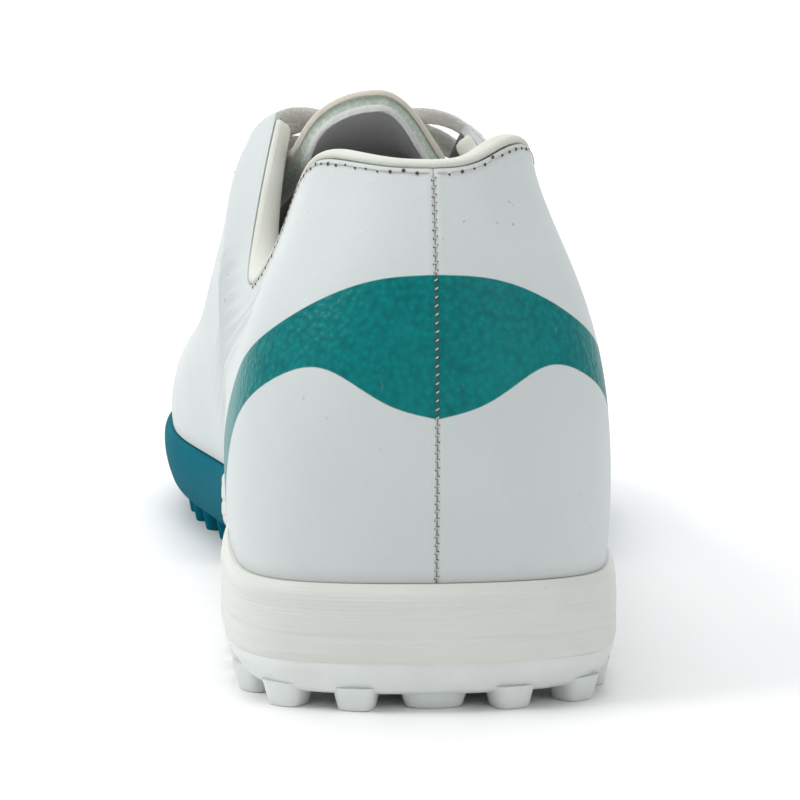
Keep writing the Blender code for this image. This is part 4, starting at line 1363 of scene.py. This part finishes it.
def make_forefoot_outsole(material):
    """Coloured rubber: a cup round the front of the midsole, with its studs."""
    shape = spline([0.0, 0.10, 0.30, 0.55, 0.80, 0.93, 1.0],
                   [-5.6, -3.4, -1.4, -0.3, 0.0, -0.5, -1.4])
    angles = list(np.linspace(SPLIT_ANGLE, math.pi, 140))
    shares = np.linspace(0, 1, 22)
    points = []
    for share in shares:
        inset = float(shape(share)[0]) * MM
        points += ring(angles, lambda angle: inset, between(underside, bite, share))
    points += ring(angles, lambda angle: -RAND_WALL, bite)
    points += ring(angles, lambda angle: -RAND_WALL,
                   lambda station: underside(station) + FOREFOOT_RUBBER)
    count = len(angles)
    around = 2 * count
    total = len(shares) + 2
    faces = lattice(total, around)
    top = (total - 1) * around
    for k in range(count - 1):
        faces.append((k, around - 1 - k, around - 2 - k, k + 1))
        faces.append((top + k + 1, top + around - 2 - k, top + around - 1 - k, top + k))
    left = [level * around for level in range(total)]
    right = [level * around + around - 1 for level in range(total)]
    faces.append(tuple(left + right[::-1]))
    edge = edge_studs_between(RUBBER_SPLIT / LENGTH + 0.012, 0.985, STUD_EDGE)
    studs = edge + inner_studs(RUBBER_SPLIT / LENGTH, 0.96, STUD_EDGE, edge)
    add_studs(points, faces, studs)
    add_piece("forefoot_rubber", points, faces, [material], "forefoot_rubber",
              ["outsole_forefoot"])


# Camera, light and floor

def make_camera():
    """The photograph's viewpoint behind the shoe, turned to put the one shoe in the middle."""
    data = bpy.data.cameras.new("camera")
    data.sensor_width = 36.0
    data.lens = data.sensor_width * FOCAL_PIXELS / SHOWN_PIXELS
    data.clip_start = 0.01
    camera = bpy.data.objects.new("camera", data)
    bpy.context.scene.collection.objects.link(camera)
    camera.location = np.array(EYE) + SHIFT
    ray = Vector(((CENTRED_PIXEL[0] - AHEAD_PIXEL[0]) / FOCAL_PIXELS, 1.0,
                  (AHEAD_PIXEL[1] - CENTRED_PIXEL[1]) / FOCAL_PIXELS))
    camera.rotation_mode = 'QUATERNION'
    camera.rotation_quaternion = ray.to_track_quat('-Z', 'Y')
    bpy.context.scene.camera = camera


def add_light(name, place, target, size, power):
    data = bpy.data.lights.new(name, 'AREA')
    data.shape = 'RECTANGLE'
    data.size = size[0]
    data.size_y = size[1]
    data.energy = power
    light = bpy.data.objects.new(name, data)
    bpy.context.scene.collection.objects.link(light)
    light.location = place
    light.rotation_mode = 'QUATERNION'
    light.rotation_quaternion = (Vector(target) - Vector(place)).to_track_quat('-Z', 'Y')


def make_stage(material):
    """A pale floor that curves up far in front of the shoe, and soft studio light."""
    profile = [(y, 0.0) for y in np.linspace(-3.0, 2.0, 6)]
    profile += [(2.0 + 1.2 * math.sin(a), 1.2 - 1.2 * math.cos(a))
                for a in np.linspace(0.15, math.pi / 2, 12)]
    profile.append((3.2, 4.0))
    xs = np.linspace(-3.5, 3.5, 8)
    points = [(x, y, z) for y, z in profile for x in xs]
    faces = lattice(len(profile), len(xs))
    mesh = bpy.data.meshes.new("studio_floor")
    mesh.from_pydata(points, [], [face[::-1] for face in faces])
    mesh.materials.append(material)
    mesh.shade_smooth()
    floor = bpy.data.objects.new("studio_floor", mesh)
    bpy.context.scene.collection.objects.link(floor)
    world = bpy.data.worlds.new("studio")
    world.use_nodes = True
    background = world.node_tree.nodes["Background"]
    background.inputs["Color"].default_value = (0.95, 0.975, 1.0, 1.0)
    background.inputs["Strength"].default_value = 0.50
    bpy.context.scene.world = world
    add_light("key", (-1.2, -0.2, 1.3), (0, -0.05, 0.05), (0.8, 0.8), 15)
    add_light("fill", (1.2, -1.2, 0.9), (0, -0.05, 0.05), (1.2, 1.0), 5)
    add_light("top", (0.0, 0.2, 1.8), (0, 0, 0), (1.6, 1.6), 17)
    add_light("backdrop", (0.0, 1.2, 2.2), (0, 3.2, 1.0), (3.0, 1.0), 60)
    bpy.context.scene.view_settings.view_transform = 'Standard'


make_camera()
leather = leather_look()
white_thread = thread_look("pale_thread", (0.55, 0.56, 0.52))
make_upper([leather, inside_look()])
make_collar(cloth_look("collar_cloth", CREAM, (0.55, 0.545, 0.47), 0.0006))
make_tongue(layered_look())
make_laces(lace_look())
make_eyelets(thread_look("eyelet_edge", (0.50, 0.52, 0.51)))
# Needle holes are dark discs of painted shade, standing in for the shaded inside of each hole.
needle_hole_shade = thread_look("needle_hole_shade", (0.10, 0.06, 0.03))
make_seam(white_thread, needle_hole_shade)
make_topline(thread_look("collar_thread_look", (0.50, 0.50, 0.45)), needle_hole_shade)
make_throat_stitches(white_thread)
make_midsole(foam_look())
make_heel_outsole(rubber_look("heel_rubber_look", RUBBER))
make_forefoot_outsole(rubber_look("forefoot_rubber_look", TEAL_RUBBER, 0.60, 0.02))

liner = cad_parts["insole"]
liner.data.materials.clear()
liner.data.materials.append(
    cloth_look("sock_cloth", (0.20, 0.205, 0.21), (0.11, 0.115, 0.12), 0.0007))
make_stage(floor_look())
